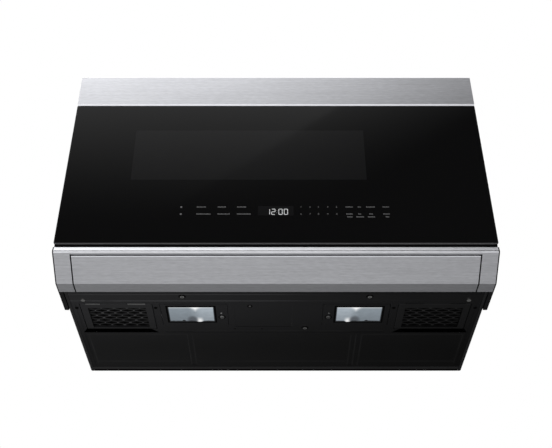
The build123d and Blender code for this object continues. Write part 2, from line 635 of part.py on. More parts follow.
with BuildPart() as high_voltage_capacitor:
    with BuildSketch(Plane.XY.offset(SHELF_Z[1])):
        with Locations((300, -185)):
            SlotOverall(54, 34)
    extrude(amount=92)
    fillet(high_voltage_capacitor.edges().group_by(Axis.Z)[-1], 2)
    for x in (290, 310):
        block((x - 3, x + 3), (-185.4, -184.6), (SHELF_Z[1] + 92, SHELF_Z[1] + 102))
save(high_voltage_capacitor, "high_voltage_capacitor")

with BuildPart() as high_voltage_diode:
    rod((335, -230, SHELF_Z[1] + 5), (1, 0, 0), 4, 18)
    rod((329, -230, SHELF_Z[1] + 5), (1, 0, 0), 0.8, 30)
    block((357, 359.5), (-234, -226), (SHELF_Z[1], SHELF_Z[1] + 10))
save(high_voltage_diode, "high_voltage_diode")

with BuildPart() as power_board:
    board_z = SHELF_Z[1] + 10
    board_top = board_z + BOARD_THICK
    block((224, 324), (-336, -252), (board_z, board_top))
    with Locations((274, -294, SHELF_Z[1])):
        with GridLocations(88, 72, 2, 2):
            Cylinder(3, 10, align=(Align.CENTER, Align.CENTER, Align.MIN))
    block((232, 266), (-326, -296), (board_top, board_z + 30))
    for x in (284, 304):
        block((x - 8, x + 8), (-328, -300), (board_top, board_z + 18))
    for x in (240, 258, 276):
        rod((x, -270, board_top), (0, 0, 1), 6, 20)
    block((290, 316), (-284, -262), (board_top, board_z + 14))
save(power_board, "power_board")

# Cooling fan: mounting plate with its ring, and a motor held ahead of it.
FAN_PLATE_Y = (-262.0, -260.5)
with BuildPart() as cooling_fan_motor:
    with BuildSketch(Plane.XZ.offset(-FAN_PLATE_Y[1])):
        with Locations((FAN_X, FAN_Z)):
            RectangleRounded(104, 102, 6)
            Circle(49, mode=Mode.SUBTRACT)
    extrude(amount=FAN_PLATE_Y[1] - FAN_PLATE_Y[0])
    with Locations(Plane(origin=(FAN_X, FAN_PLATE_Y[0], FAN_Z), z_dir=(0, -1, 0)).location):
        with GridLocations(92, 92, 2, 2):
            Cylinder(2.5, 26, align=(Align.CENTER, Align.CENTER, Align.MIN))
    for z in (FAN_Z - 46, FAN_Z + 46):
        block((FAN_X - 50, FAN_X + 50), (-289, -287), (z - 5, z + 5))
    block((FAN_X - 8, FAN_X + 8), (-289, -287), (FAN_Z - 46, FAN_Z + 46))
    block((FAN_X - 22, FAN_X + 22), (-312, -289), (FAN_Z - 30, FAN_Z + 30))
    rod((FAN_X, -315, FAN_Z), (0, 1, 0), 10, 30)
    rod((FAN_X, -300, FAN_Z), (0, 1, 0), 2.0 + RUNNING_GAP, 30, Mode.SUBTRACT)
save(cooling_fan_motor, "cooling_fan_motor")

with BuildPart() as cooling_fan_blade:
    rod((FAN_X, -282, FAN_Z), (0, 1, 0), 11, 14)
    rod((FAN_X, -299, FAN_Z), (0, 1, 0), 2.0, 20)
    with Locations(Plane(origin=(FAN_X, -275, FAN_Z), z_dir=(0, -1, 0)).location):
        with PolarLocations(27, 5):
            Box(36, 22, 1.4, rotation=(32, 0, 0))
save(cooling_fan_blade, "cooling_fan_blade")

with BuildPart() as cavity_lamp:
    lamp_y, lamp_z = CAVITY_LAMP
    block((WALL_X, WALL_X + 34), (lamp_y - 18, lamp_y + 18), (lamp_z - 18, lamp_z + 18))
    block((WALL_X - 1, WALL_X + 33), (lamp_y - 17, lamp_y + 17), (lamp_z - 17, lamp_z + 17), Mode.SUBTRACT)
    rod((WALL_X + 26, lamp_y, lamp_z), (-1, 0, 0), 9, 18)
    fillet(cavity_lamp.edges().filter_by(GeomType.CIRCLE), 5)
    rod((WALL_X + 33, lamp_y, lamp_z), (-1, 0, 0), 6, 10)
save(cavity_lamp, "cavity_lamp")

# Latch board behind the front plate, with three switches that the door works.
SWITCH_Z = (142.0, 210.0, 278.0)
BOARD_Y = (PLATE_BACK_Y, PLATE_BACK_Y + 2.6)
with BuildPart() as latch_board:
    block((328, 354), BOARD_Y, (92, 328))
    block((352, 354), (BOARD_Y[1], -318), (92, 328))
    for z in HOOK_Z:
        with Locations((LATCH_X, BOARD_Y[0], z)):
            Box(11, 12, 25, mode=Mode.SUBTRACT)
    for z in SWITCH_Z:
        for side in (-1, 1):
            block((336, 352), (BOARD_Y[1], -326), (z + side * 10, z + side * 11.5))
save(latch_board, "latch_board")

with BuildPart() as interlock_switches:
    for z in SWITCH_Z:
        block((338, 348), (BOARD_Y[1], -325), (z - 9.8, z + 9.8))
        for y in (-325, -331):
            block((348, 350.5), (y - 3, y), (z - 1, z + 1))
save(interlock_switches, "interlock_switches")

# ---------------------------------------------------------------- turntable
TRAY_RADIUS = 145.0
TRAY_UNDER = 106.6
COUPLER_TOP = 106.2
WHEEL_RADIUS = 7.0
WHEEL_RING = 102.0
WHEEL_Z = CAVITY_Z[0] + WHEEL_RADIUS + 0.3
STUB_RADIUS = 2.0
with BuildPart() as turntable_motor:
    rod((TABLE_X, TABLE_Y, 73), (0, 0, 1), 25, 15)
    for side in (-1, 1):
        block((TABLE_X + side * 22, TABLE_X + side * 34), (TABLE_Y - 6, TABLE_Y + 6), (86, 88))
        foot = (TABLE_X + side * 30, TABLE_X + side * 34)
        block(foot, (TABLE_Y - 6, TABLE_Y + 6), (88, CAVITY_Z[0] - SHEET))
    rod((TABLE_X, TABLE_Y, 76), (0, 0, 1), 3.5 + RUNNING_GAP, 20, Mode.SUBTRACT)
save(turntable_motor, "turntable_motor")

with BuildPart() as drive_coupler:
    rod((TABLE_X, TABLE_Y, 77), (0, 0, 1), 3.5, 18)
    rod((TABLE_X, TABLE_Y, 92.6), (0, 0, 1), 6.5, 9.4)
    with Locations((TABLE_X, TABLE_Y, 98)):
        with PolarLocations(0, 3):
            box_size = (14, 8, COUPLER_TOP - 98)
            Box(*box_size, align=(Align.MIN, Align.CENTER, Align.MIN))
save(drive_coupler, "drive_coupler")

with BuildPart() as glass_tray:
    with BuildSketch(Plane.XZ):
        with BuildLine():
            Polyline(
                (0, TRAY_UNDER),
                (TRAY_RADIUS - 14, TRAY_UNDER),
                (TRAY_RADIUS, TRAY_UNDER + 8),
                (TRAY_RADIUS, TRAY_UNDER + 12),
                (TRAY_RADIUS - 3, TRAY_UNDER + 12),
                (TRAY_RADIUS - 16, TRAY_UNDER + 4.5),
                (0, TRAY_UNDER + 4.5),
                close=True,
            )
        make_face()
    revolve(axis=Axis.Z)
    with Locations((0, 0, TRAY_UNDER)):
        with PolarLocations(9.5, 3, start_angle=60):
            Box(5, 6, 6, align=(Align.CENTER, Align.CENTER, Align.MAX))
glass_tray.part = glass_tray.part.moved(Location((TABLE_X, TABLE_Y, 0)))
save(glass_tray, "glass_tray")

RING_IN, RING_OUT = 86.0, 92.0
WHEEL_HALF = 4.0
with BuildPart() as roller_ring:
    with BuildSketch(Plane.XY.offset(WHEEL_Z - 2.5)):
        with Locations((TABLE_X, TABLE_Y)):
            Circle(RING_OUT)
            Circle(RING_IN, mode=Mode.SUBTRACT)
    extrude(amount=5)
    for turn in range(3):
        angle = math.radians(120 * turn + 90)
        out = (math.cos(angle), math.sin(angle), 0)
        start = (TABLE_X + (RING_OUT - 1) * out[0], TABLE_Y + (RING_OUT - 1) * out[1], WHEEL_Z)
        rod(start, out, STUB_RADIUS, WHEEL_RING + WHEEL_HALF + 1.5 - RING_OUT + 1)
        cap_at = WHEEL_RING + WHEEL_HALF + 0.5
        cap = (TABLE_X + cap_at * out[0], TABLE_Y + cap_at * out[1], WHEEL_Z)
        rod(cap, out, 3.0, 1.5)
save(roller_ring, "roller_ring")

for turn in range(3):
    angle = math.radians(120 * turn + 90)
    out = (math.cos(angle), math.sin(angle), 0)
    inner = WHEEL_RING - WHEEL_HALF
    start = (TABLE_X + inner * out[0], TABLE_Y + inner * out[1], WHEEL_Z)
    with BuildPart() as roller_wheel:
        rod(start, out, WHEEL_RADIUS, 2 * WHEEL_HALF)
        rims = roller_wheel.edges().filter_by(GeomType.CIRCLE)
        fillet(rims, 1.2)
        rod(start, out, STUB_RADIUS + RUNNING_GAP, 2 * WHEEL_HALF, Mode.SUBTRACT)
    save(roller_wheel, f"roller_wheel_{turn + 1}")

# ---------------------------------------------------------------- exhaust blower and duct
SCROLL_X = (44.0, 126.0)
SCROLL_RADIUS = 46.0
SCROLL_WALL = 1.2
WHEEL_X = (50.0, 120.0)
BLADE_OUT, BLADE_IN = 37.0, 30.0
MOTOR_RADIUS = 32.0
SHAFT_RADIUS = 4.0
RING_THICK = 2.5


def scroll(x, radius, top):
    """Adds a scroll's section, a round chamber with an upward outlet, over a span of X."""
    low, high = sorted(x)
    with BuildSketch(Plane.YZ.offset(low)) as chamber:
        with Locations((BLOWER_Y, BLOWER_Z)):
            Circle(radius)
        with Locations((BLOWER_Y + radius, BLOWER_Z)):
            Rectangle(radius, top - BLOWER_Z, align=(Align.MAX, Align.MIN))
    return extrude(chamber.sketch, amount=high - low, mode=Mode.PRIVATE)


SCROLL_TOP = HEIGHT - SHEET - 0.2
with BuildPart() as blower_housing:
    block((-126, 126), (BLOWER_Y - 22, BLOWER_Y + 22), (CAVITY_Z[1] + SHEET, 338))
    for side in (-1, 1):
        outside = (side * SCROLL_X[0], side * SCROLL_X[1])
        add(scroll(outside, SCROLL_RADIUS, SCROLL_TOP))
    for side in (-1, 1):
        inside = (side * (SCROLL_X[0] + SCROLL_WALL), side * (SCROLL_X[1] - SCROLL_WALL))
        add(scroll(inside, SCROLL_RADIUS - SCROLL_WALL, SCROLL_TOP + 5), mode=Mode.SUBTRACT)
        for x in SCROLL_X:
            rod((side * x - 4, BLOWER_Y, BLOWER_Z), (1, 0, 0), 27, 8, Mode.SUBTRACT)
    block((-30, 30), (BLOWER_Y - 22, BLOWER_Y + 22), (338, 358))
    rod((-40, BLOWER_Y, BLOWER_Z), (1, 0, 0), MOTOR_RADIUS, 80, Mode.SUBTRACT)
save(blower_housing, "blower_housing")

with BuildPart() as blower_motor:
    rod((-34, BLOWER_Y, BLOWER_Z), (1, 0, 0), MOTOR_RADIUS, 68)
    fillet(blower_motor.edges().filter_by(GeomType.CIRCLE), 4)
    rod((-40, BLOWER_Y, BLOWER_Z), (1, 0, 0), SHAFT_RADIUS + RUNNING_GAP, 80, Mode.SUBTRACT)
save(blower_motor, "blower_motor")

with BuildPart() as blower_wheels:
    rod((-121, BLOWER_Y, BLOWER_Z), (1, 0, 0), SHAFT_RADIUS, 242)
    for side in (-1, 1):
        low, high = sorted((side * WHEEL_X[0], side * WHEEL_X[1]))
        with BuildSketch(Plane.YZ.offset(low)) as blades:
            with Locations((BLOWER_Y, BLOWER_Z)):
                with PolarLocations((BLADE_OUT + BLADE_IN) / 2, 24):
                    Rectangle(BLADE_OUT - BLADE_IN + 1, 1.2, rotation=32)
        extrude(blades.sketch, amount=high - low)
        for ring in (low, high - RING_THICK):
            with BuildSketch(Plane.YZ.offset(ring)) as end_ring:
                with Locations((BLOWER_Y, BLOWER_Z)):
                    Circle(BLADE_OUT + 0.5)
                    Circle(BLADE_IN - 1, mode=Mode.SUBTRACT)
            extrude(end_ring.sketch, amount=RING_THICK)
        middle = (low + high) / 2
        rod((middle - 1, BLOWER_Y, BLOWER_Z), (1, 0, 0), BLADE_OUT, 2)
        rod((middle - 8, BLOWER_Y, BLOWER_Z), (1, 0, 0), 9, 16)
save(blower_wheels, "blower_wheels")

DUCT_HALF_X, DUCT_HALF_Y = DUCT_WIDTH / 2, DUCT_DEPTH / 2
PIVOT_RADIUS = 2.0
with BuildPart() as exhaust_adapter:
    with Locations((0, DUCT_Y, HEIGHT)):
        Box(DUCT_WIDTH + 24, DUCT_DEPTH + 20, 1.2, align=(Align.CENTER, Align.CENTER, Align.MIN))
        collar = DUCT_TOP - HEIGHT
        Box(DUCT_WIDTH, DUCT_DEPTH, collar, align=(Align.CENTER, Align.CENTER, Align.MIN))
        Box(DUCT_WIDTH - 2, DUCT_DEPTH - 2, 80, mode=Mode.SUBTRACT)
    # Stop under the flap's free edge, and the flap's two pivot holes.
    front_wall = DUCT_Y - DUCT_HALF_Y + 1
    block((-100, 100), (front_wall, front_wall + 4), (445.6, 447.0))
    pivot = (-DUCT_HALF_X - 2, FLAP_PIVOT_Y, FLAP_PIVOT_Z)
    rod(pivot, (1, 0, 0), PIVOT_RADIUS + RUNNING_GAP, DUCT_WIDTH + 4, Mode.SUBTRACT)
save(exhaust_adapter, "exhaust_adapter")

with BuildPart() as damper_flap:
    flap_half = DUCT_HALF_X - 2.4
    block((-flap_half, flap_half), (-97.6, FLAP_PIVOT_Y), (FLAP_PIVOT_Z - 0.5, FLAP_PIVOT_Z + 0.5))
    rod((-DUCT_HALF_X - 1, FLAP_PIVOT_Y, FLAP_PIVOT_Z), (1, 0, 0), PIVOT_RADIUS, DUCT_WIDTH + 2)
save(damper_flap, "damper_flap")

with BuildPart() as charcoal_filter:
    block((-163, 163), (-341, -329), (368, 432))
    with Locations((0, -341, 400)):
        with GridLocations(40, 1, 8, 1):
            Box(34, 6, 54, mode=Mode.SUBTRACT)
save(charcoal_filter, "charcoal_filter")

with BuildPart() as cord_gland:
    foot = HEIGHT - SHEET - GLAND_REACH
    rod((CABLE_X, CABLE_Y, HEIGHT), (0, 0, 1), 12, 4)
    rod((CABLE_X, CABLE_Y, foot), (0, 0, 1), GLAND_NECK, GLAND_REACH + 2)
    rod((CABLE_X, CABLE_Y, foot), (0, 0, 1), 11, 3)
    rod((CABLE_X, CABLE_Y, HEIGHT - 20), (0, 0, 1), GLAND_BORE, 40, Mode.SUBTRACT)
save(cord_gland, "cord_gland")

# ---------------------------------------------------------------- hinge and fasteners
ARM_RADIUS = 6.0
PIN_LENGTH = 12.0
with BuildPart() as hinge_brackets:
    for name, (low, high) in ARM_Z.items():
        away = -1 if name == "upper" else 1
        base = low if name == "upper" else high
        rod((HINGE_X, HINGE_Y, low), (0, 0, 1), ARM_RADIUS, high - low)
        block((HINGE_X - ARM_RADIUS, -357), (HINGE_Y, FRONT_PLATE_Y - 0.4), (low, high))
        block((-369, -357), (FRONT_PLATE_Y - 0.4, PLATE_BACK_Y + 2), (low, high))
        block((-369, -346), (PLATE_BACK_Y, PLATE_BACK_Y + 2), (low, low + away * 26))
        block((-369, -346), (PLATE_BACK_Y, PLATE_BACK_Y + 2), (low, high))
        rod((HINGE_X, HINGE_Y, base), (0, 0, away), PIN_RADIUS, PIN_LENGTH)
save(hinge_brackets, "hinge_brackets")

with BuildPart() as cabinet_screws:
    for x, y in BASE_SCREWS:
        seat = 0 if y < FIELD_Y else FIELD_STEP
        screw((x, y, seat), (0, 0, 1), shank=1.7 if abs(x) == 165 else 5.0)
    for side in (-1, 1):
        for z in SIDE_SCREW_Z:
            screw((side * BODY, SIDE_SCREW_Y, z), (-side, 0, 0), shank=6)
save(cabinet_screws, "cabinet_screws")

# ---------------------------------------------------------------- door
FRAME_HALF = 376.0
FRAME_Z = (46.0, 362.0)
LIP_HALF = 378.0
LIP_Z = (43.5, 49.0)
LIP_BACK_Y = -374.0
WINDOW_X = (-265.0, 165.0)
WINDOW_Z = (185.0, 300.0)
DISPLAY_X = (-32.6, 31.2)
DISPLAY_Z = (102.0, 128.0)
FLANGE_BACK_Y = GLASS_BACK_Y + PLASTIC
COVER_Y = (-351.5, DOOR_BACK_Y)
BOSS_X = -352.0
BOSS_Y = -364.0
BOSS_Z = (330.0, 354.0)
LOW_BOSS_Z = (54.0, 78.0)
GRIP_Z = (140.0, 270.0)
KEY_Y = (-366.0, -360.0)

with BuildPart() as door_glass:
    block((-HALF, HALF), (FRONT_Y, GLASS_BACK_Y), (GLASS_BOTTOM, GLASS_TOP))
    fillet(door_glass.edges().filter_by(Axis.Y), 2.0)
    chamfer(door_glass.faces().sort_by(Axis.Y)[0].edges(), 0.8)
save(door_glass, "door_glass")

with BuildPart() as door_frame:
    block((-FRAME_HALF, FRAME_HALF), (GLASS_BACK_Y, DOOR_BACK_Y), FRAME_Z)
    fillet(door_frame.edges().filter_by(Axis.Y), 3.0)
    block((-LIP_HALF, LIP_HALF), (GLASS_BACK_Y, LIP_BACK_Y), LIP_Z)
    inner_x = (-FRAME_HALF + PLASTIC, FRAME_HALF - PLASTIC)
    inner_z = (FRAME_Z[0] + PLASTIC, FRAME_Z[1] - PLASTIC)
    block(inner_x, (FLANGE_BACK_Y, DOOR_BACK_Y + 1), inner_z, Mode.SUBTRACT)
    window_hole = (WINDOW_X[0] - 3, WINDOW_X[1] + 3)
    block(window_hole, (-390, -370), (WINDOW_Z[0] - 3, WINDOW_Z[1] + 3), Mode.SUBTRACT)
    display_hole = (DISPLAY_X[0] - 1, DISPLAY_X[1] + 1)
    block(display_hole, (-390, -370), (DISPLAY_Z[0] - 1, DISPLAY_Z[1] + 1), Mode.SUBTRACT)
    # Hinge bosses at the two left corners, and the corners cut away for the hinge arms.
    for low, high in (BOSS_Z, LOW_BOSS_Z):
        block((-FRAME_HALF, BOSS_X), (BOSS_Y, DOOR_BACK_Y), (low, high))
    block((-380, BOSS_X), (BOSS_Y + 1, -340), (BOSS_Z[1], 370), Mode.SUBTRACT)
    block((-380, BOSS_X), (BOSS_Y + 1, -340), (40, LOW_BOSS_Z[0]), Mode.SUBTRACT)
    rod((HINGE_X, HINGE_Y, 340), (0, 0, 1), PIN_RADIUS + RUNNING_GAP, 30, Mode.SUBTRACT)
    rod((HINGE_X, HINGE_Y, 40), (0, 0, 1), PIN_RADIUS + RUNNING_GAP, 28, Mode.SUBTRACT)
    # Finger grip let into the right edge.
    block((355, FRAME_HALF), (GLASS_BACK_Y, -353), (GRIP_Z[0] - 3, GRIP_Z[1] + 3))
    block((358, FRAME_HALF + 1), (-378, -356), GRIP_Z, Mode.SUBTRACT)
    # Seat of the latch spring, and two guides for the latch slider.
    block((330, 352), (FLANGE_BACK_Y, -358), (70, 75))
    for z in (165, 250):
        block((LATCH_X - 6, LATCH_X + 6), (FLANGE_BACK_Y, KEY_Y[0] - 0.3), (z, z + 10))
        for side in (-1, 1):
            cheek = (LATCH_X + side * 3.8, LATCH_X + side * 6)
            block(cheek, (KEY_Y[0] - 0.3, KEY_Y[1]), (z, z + 10))
save(door_frame, "door_frame")

with BuildPart() as door_inner_cover:
    edge = 0.3
    cover_x = (inner_x[0] + edge, inner_x[1] - edge)
    cover_z = (inner_z[0] + edge, inner_z[1] - edge)
    block(cover_x, COVER_Y, cover_z)
    sight = (WINDOW_X[0] - 12, WINDOW_X[1] + 12)
    block(sight, (-360, -340), (WINDOW_Z[0] - 12, WINDOW_Z[1] + 12), Mode.SUBTRACT)
    fillet(door_inner_cover.edges().filter_by(Axis.Y), 3.0)
    for low, high in ((BOSS_Z[0] - 0.3, 370), (40, LOW_BOSS_Z[1] + 0.3)):
        block((-380, BOSS_X + 0.3), (-360, -340), (low, high), Mode.SUBTRACT)
    for z in HOOK_Z:
        block((LATCH_X - 5, LATCH_X + 5), (-360, -340), (z - 13, z + 13), Mode.SUBTRACT)
save(door_inner_cover, "door_inner_cover")

SCREEN_X = (-306.0, 206.0)
SCREEN_Z = (146.0, 339.0)
SCREEN_Y = (-372.0, -353.0)
with BuildPart() as door_screen:
    block(SCREEN_X, SCREEN_Y, SCREEN_Z)
    fillet(door_screen.edges().filter_by(Axis.Y), 6.0)
    tray_inside = ((SCREEN_X[0] + 1, SCREEN_X[1] - 1), (SCREEN_Z[0] + 1, SCREEN_Z[1] - 1))
    block(tray_inside[0], (SCREEN_Y[0] + 1, -350), tray_inside[1], Mode.SUBTRACT)
save(door_screen, "door_screen")

with BuildPart() as inner_window:
    pane_x = (WINDOW_X[0] - 8, WINDOW_X[1] + 8)
    block(pane_x, (SCREEN_Y[0] + 1, SCREEN_Y[0] + 3), (WINDOW_Z[0] - 8, WINDOW_Z[1] + 8))
save(inner_window, "inner_window")

with BuildPart() as touch_board:
    board_back = FLANGE_BACK_Y + BOARD_THICK
    block((-172, 212), (FLANGE_BACK_Y, board_back), (90, 138))
    for x, z in ((-150, 114), (-120, 114), (190, 114), (80, 130)):
        block((x - 6, x + 6), (board_back, board_back + 3), (z - 4, z + 4))
save(touch_board, "touch_board")

with BuildPart() as display_module:
    block(DISPLAY_X, (GLASS_BACK_Y, FLANGE_BACK_Y), DISPLAY_Z)
save(display_module, "display_module")

# Door latch: a sprung slider with two hooks that reach through the front plate.
HOOK_TIP_Y = -333.0
with BuildPart() as latch_key:
    block((LATCH_X - 3.5, LATCH_X + 3.5), KEY_Y, (95, 325))
    for z in HOOK_Z:
        hook = [(KEY_Y[1], z - 5), (KEY_Y[1], z + 5), (HOOK_TIP_Y - 5, z + 5), (HOOK_TIP_Y, z)]
        hook += [(HOOK_TIP_Y, z - 8), (HOOK_TIP_Y - 5, z - 8), (HOOK_TIP_Y - 5, z - 5)]
        profile_x(hook, (LATCH_X - 2.5, LATCH_X + 2.5))
save(latch_key, "latch_key")

SPRING_Z = (75.4, 94.6)
SPRING_WIRE = 0.6
with BuildPart() as latch_spring:
    pitch = (SPRING_Z[1] - SPRING_Z[0] - 2 * SPRING_WIRE) / 6
    with BuildLine() as coil:
        Helix(pitch, 6 * pitch, 2.4)
    with BuildSketch(Plane(origin=coil.line @ 0, z_dir=coil.line % 0)):
        Circle(SPRING_WIRE)
    sweep(path=coil.line, is_frenet=True)
spring_place = Location((LATCH_X, sum(KEY_Y) / 2, SPRING_Z[0] + SPRING_WIRE))
latch_spring.part = latch_spring.part.moved(spring_place)
save(latch_spring, "latch_spring")
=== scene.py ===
"""Looks of an over-the-range microwave oven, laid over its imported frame.

Everything is in metres: +X to the right as seen from the front, +Y into the wall, +Z up, with
the origin on the wall plane at the middle of the cabinet's bottom edge.
"""

import logging
import math
from collections.abc import Iterable, Mapping
from dataclasses import dataclass, replace
from enum import Enum
from typing import Any

import bmesh
import bpy
from mathutils import Matrix, Vector


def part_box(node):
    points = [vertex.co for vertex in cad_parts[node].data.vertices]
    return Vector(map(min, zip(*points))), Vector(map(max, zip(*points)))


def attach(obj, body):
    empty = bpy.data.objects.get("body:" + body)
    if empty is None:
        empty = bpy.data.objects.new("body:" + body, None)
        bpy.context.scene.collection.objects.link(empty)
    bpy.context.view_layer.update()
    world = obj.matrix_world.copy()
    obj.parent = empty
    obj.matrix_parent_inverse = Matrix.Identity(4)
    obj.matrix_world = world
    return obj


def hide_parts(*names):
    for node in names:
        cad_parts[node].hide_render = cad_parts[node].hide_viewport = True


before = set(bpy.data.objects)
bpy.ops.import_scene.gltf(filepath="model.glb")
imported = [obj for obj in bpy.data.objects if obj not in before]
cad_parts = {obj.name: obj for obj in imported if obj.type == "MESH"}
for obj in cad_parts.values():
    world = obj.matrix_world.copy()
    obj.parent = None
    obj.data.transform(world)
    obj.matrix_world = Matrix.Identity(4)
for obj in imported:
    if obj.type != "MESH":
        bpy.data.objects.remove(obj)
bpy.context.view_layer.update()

log = logging.getLogger("microwave")

Colour = tuple[float, float, float]
Point = tuple[float, float, float]
Span = tuple[float, float]
Size = tuple[float, float]

MM = 0.001
BLACK: Colour = (0.0, 0.0, 0.0)
WHITE: Colour = (1.0, 1.0, 1.0)
# Noise below the first value counts as dark and above the second as light.
CONTRAST: Span = (0.3, 0.7)


def mm(*values: float) -> tuple[float, ...]:
    """Gives millimetres as metres."""
    return tuple(value * MM for value in values)


def grey(level: float) -> Colour:
    """Gives a grey of that brightness."""
    return (level,) * 3


# ---------------------------------------------------------------- shader tools
class Value:
    """A number that comes out of a socket; arithmetic on it adds nodes."""

    def __init__(self, shader: "Shader", socket: bpy.types.NodeSocket) -> None:
        """Keeps the socket and the shader that owns it."""
        self.shader = shader
        self.socket = socket

    def __add__(self, other: "Value | float") -> "Value":
        """Gives self + other."""
        return self.shader.maths("ADD", self, other)

    __radd__ = __add__

    def __sub__(self, other: "Value | float") -> "Value":
        """Gives self - other."""
        return self.shader.maths("SUBTRACT", self, other)

    def __rsub__(self, other: float) -> "Value":
        """Gives other - self."""
        return self.shader.maths("SUBTRACT", other, self)

    def __mul__(self, other: "Value | float") -> "Value":
        """Gives self * other."""
        return self.shader.maths("MULTIPLY", self, other)

    __rmul__ = __mul__

    def __truediv__(self, other: "Value | float") -> "Value":
        """Gives self / other."""
        return self.shader.maths("DIVIDE", self, other)

    def __gt__(self, other: "Value | float") -> "Value":
        """Gives 1 where self is above other, else 0."""
        return self.shader.maths("GREATER_THAN", self, other)

    def __lt__(self, other: "Value | float") -> "Value":
        """Gives 1 where self is below other, else 0."""
        return self.shader.maths("LESS_THAN", self, other)

    def __mod__(self, other: float) -> "Value":
        """Gives self wrapped into the range from 0 to other."""
        return self.shader.maths("WRAP", self, other, 0.0)

    def __abs__(self) -> "Value":
        """Gives the size of self without its sign."""
        return self.shader.maths("ABSOLUTE", self)

    def swing(self, width: float) -> "Value":
        """Gives noise, which is about 0.5, as a change around 0 that is so wide."""
        return (self - 0.5) * width

    def from_middle(self, pitch: float) -> "Value":
        """Gives how far a coordinate is from the middle of its cell of that pitch."""
        return (self % pitch) - pitch / 2

    def ramp(self, low: float, high: float) -> "Value":
        """Rises smoothly from 0 at low to 1 at high.

        Args:
            low: Where the rise starts.
            high: Where the rise ends.

        Returns:
            The risen value.
        """
        made = self.shader.node(
            "ShaderNodeMapRange",
            {"interpolation_type": "SMOOTHSTEP", "clamp": True},
            {"Value": self, "From Min": low, "From Max": high},
        )
        return Value(self.shader, made.outputs["Result"])

    def within(self, span: Span, soft: float) -> "Value":
        """Gives 1 inside a span and 0 outside it, with soft edges.

        Args:
            span: Lowest and highest value inside.
            soft: Half the width of each edge.

        Returns:
            The mask.
        """
        low, high = span
        return self.ramp(low - soft, low + soft) * (1.0 - self.ramp(high - soft, high + soft))


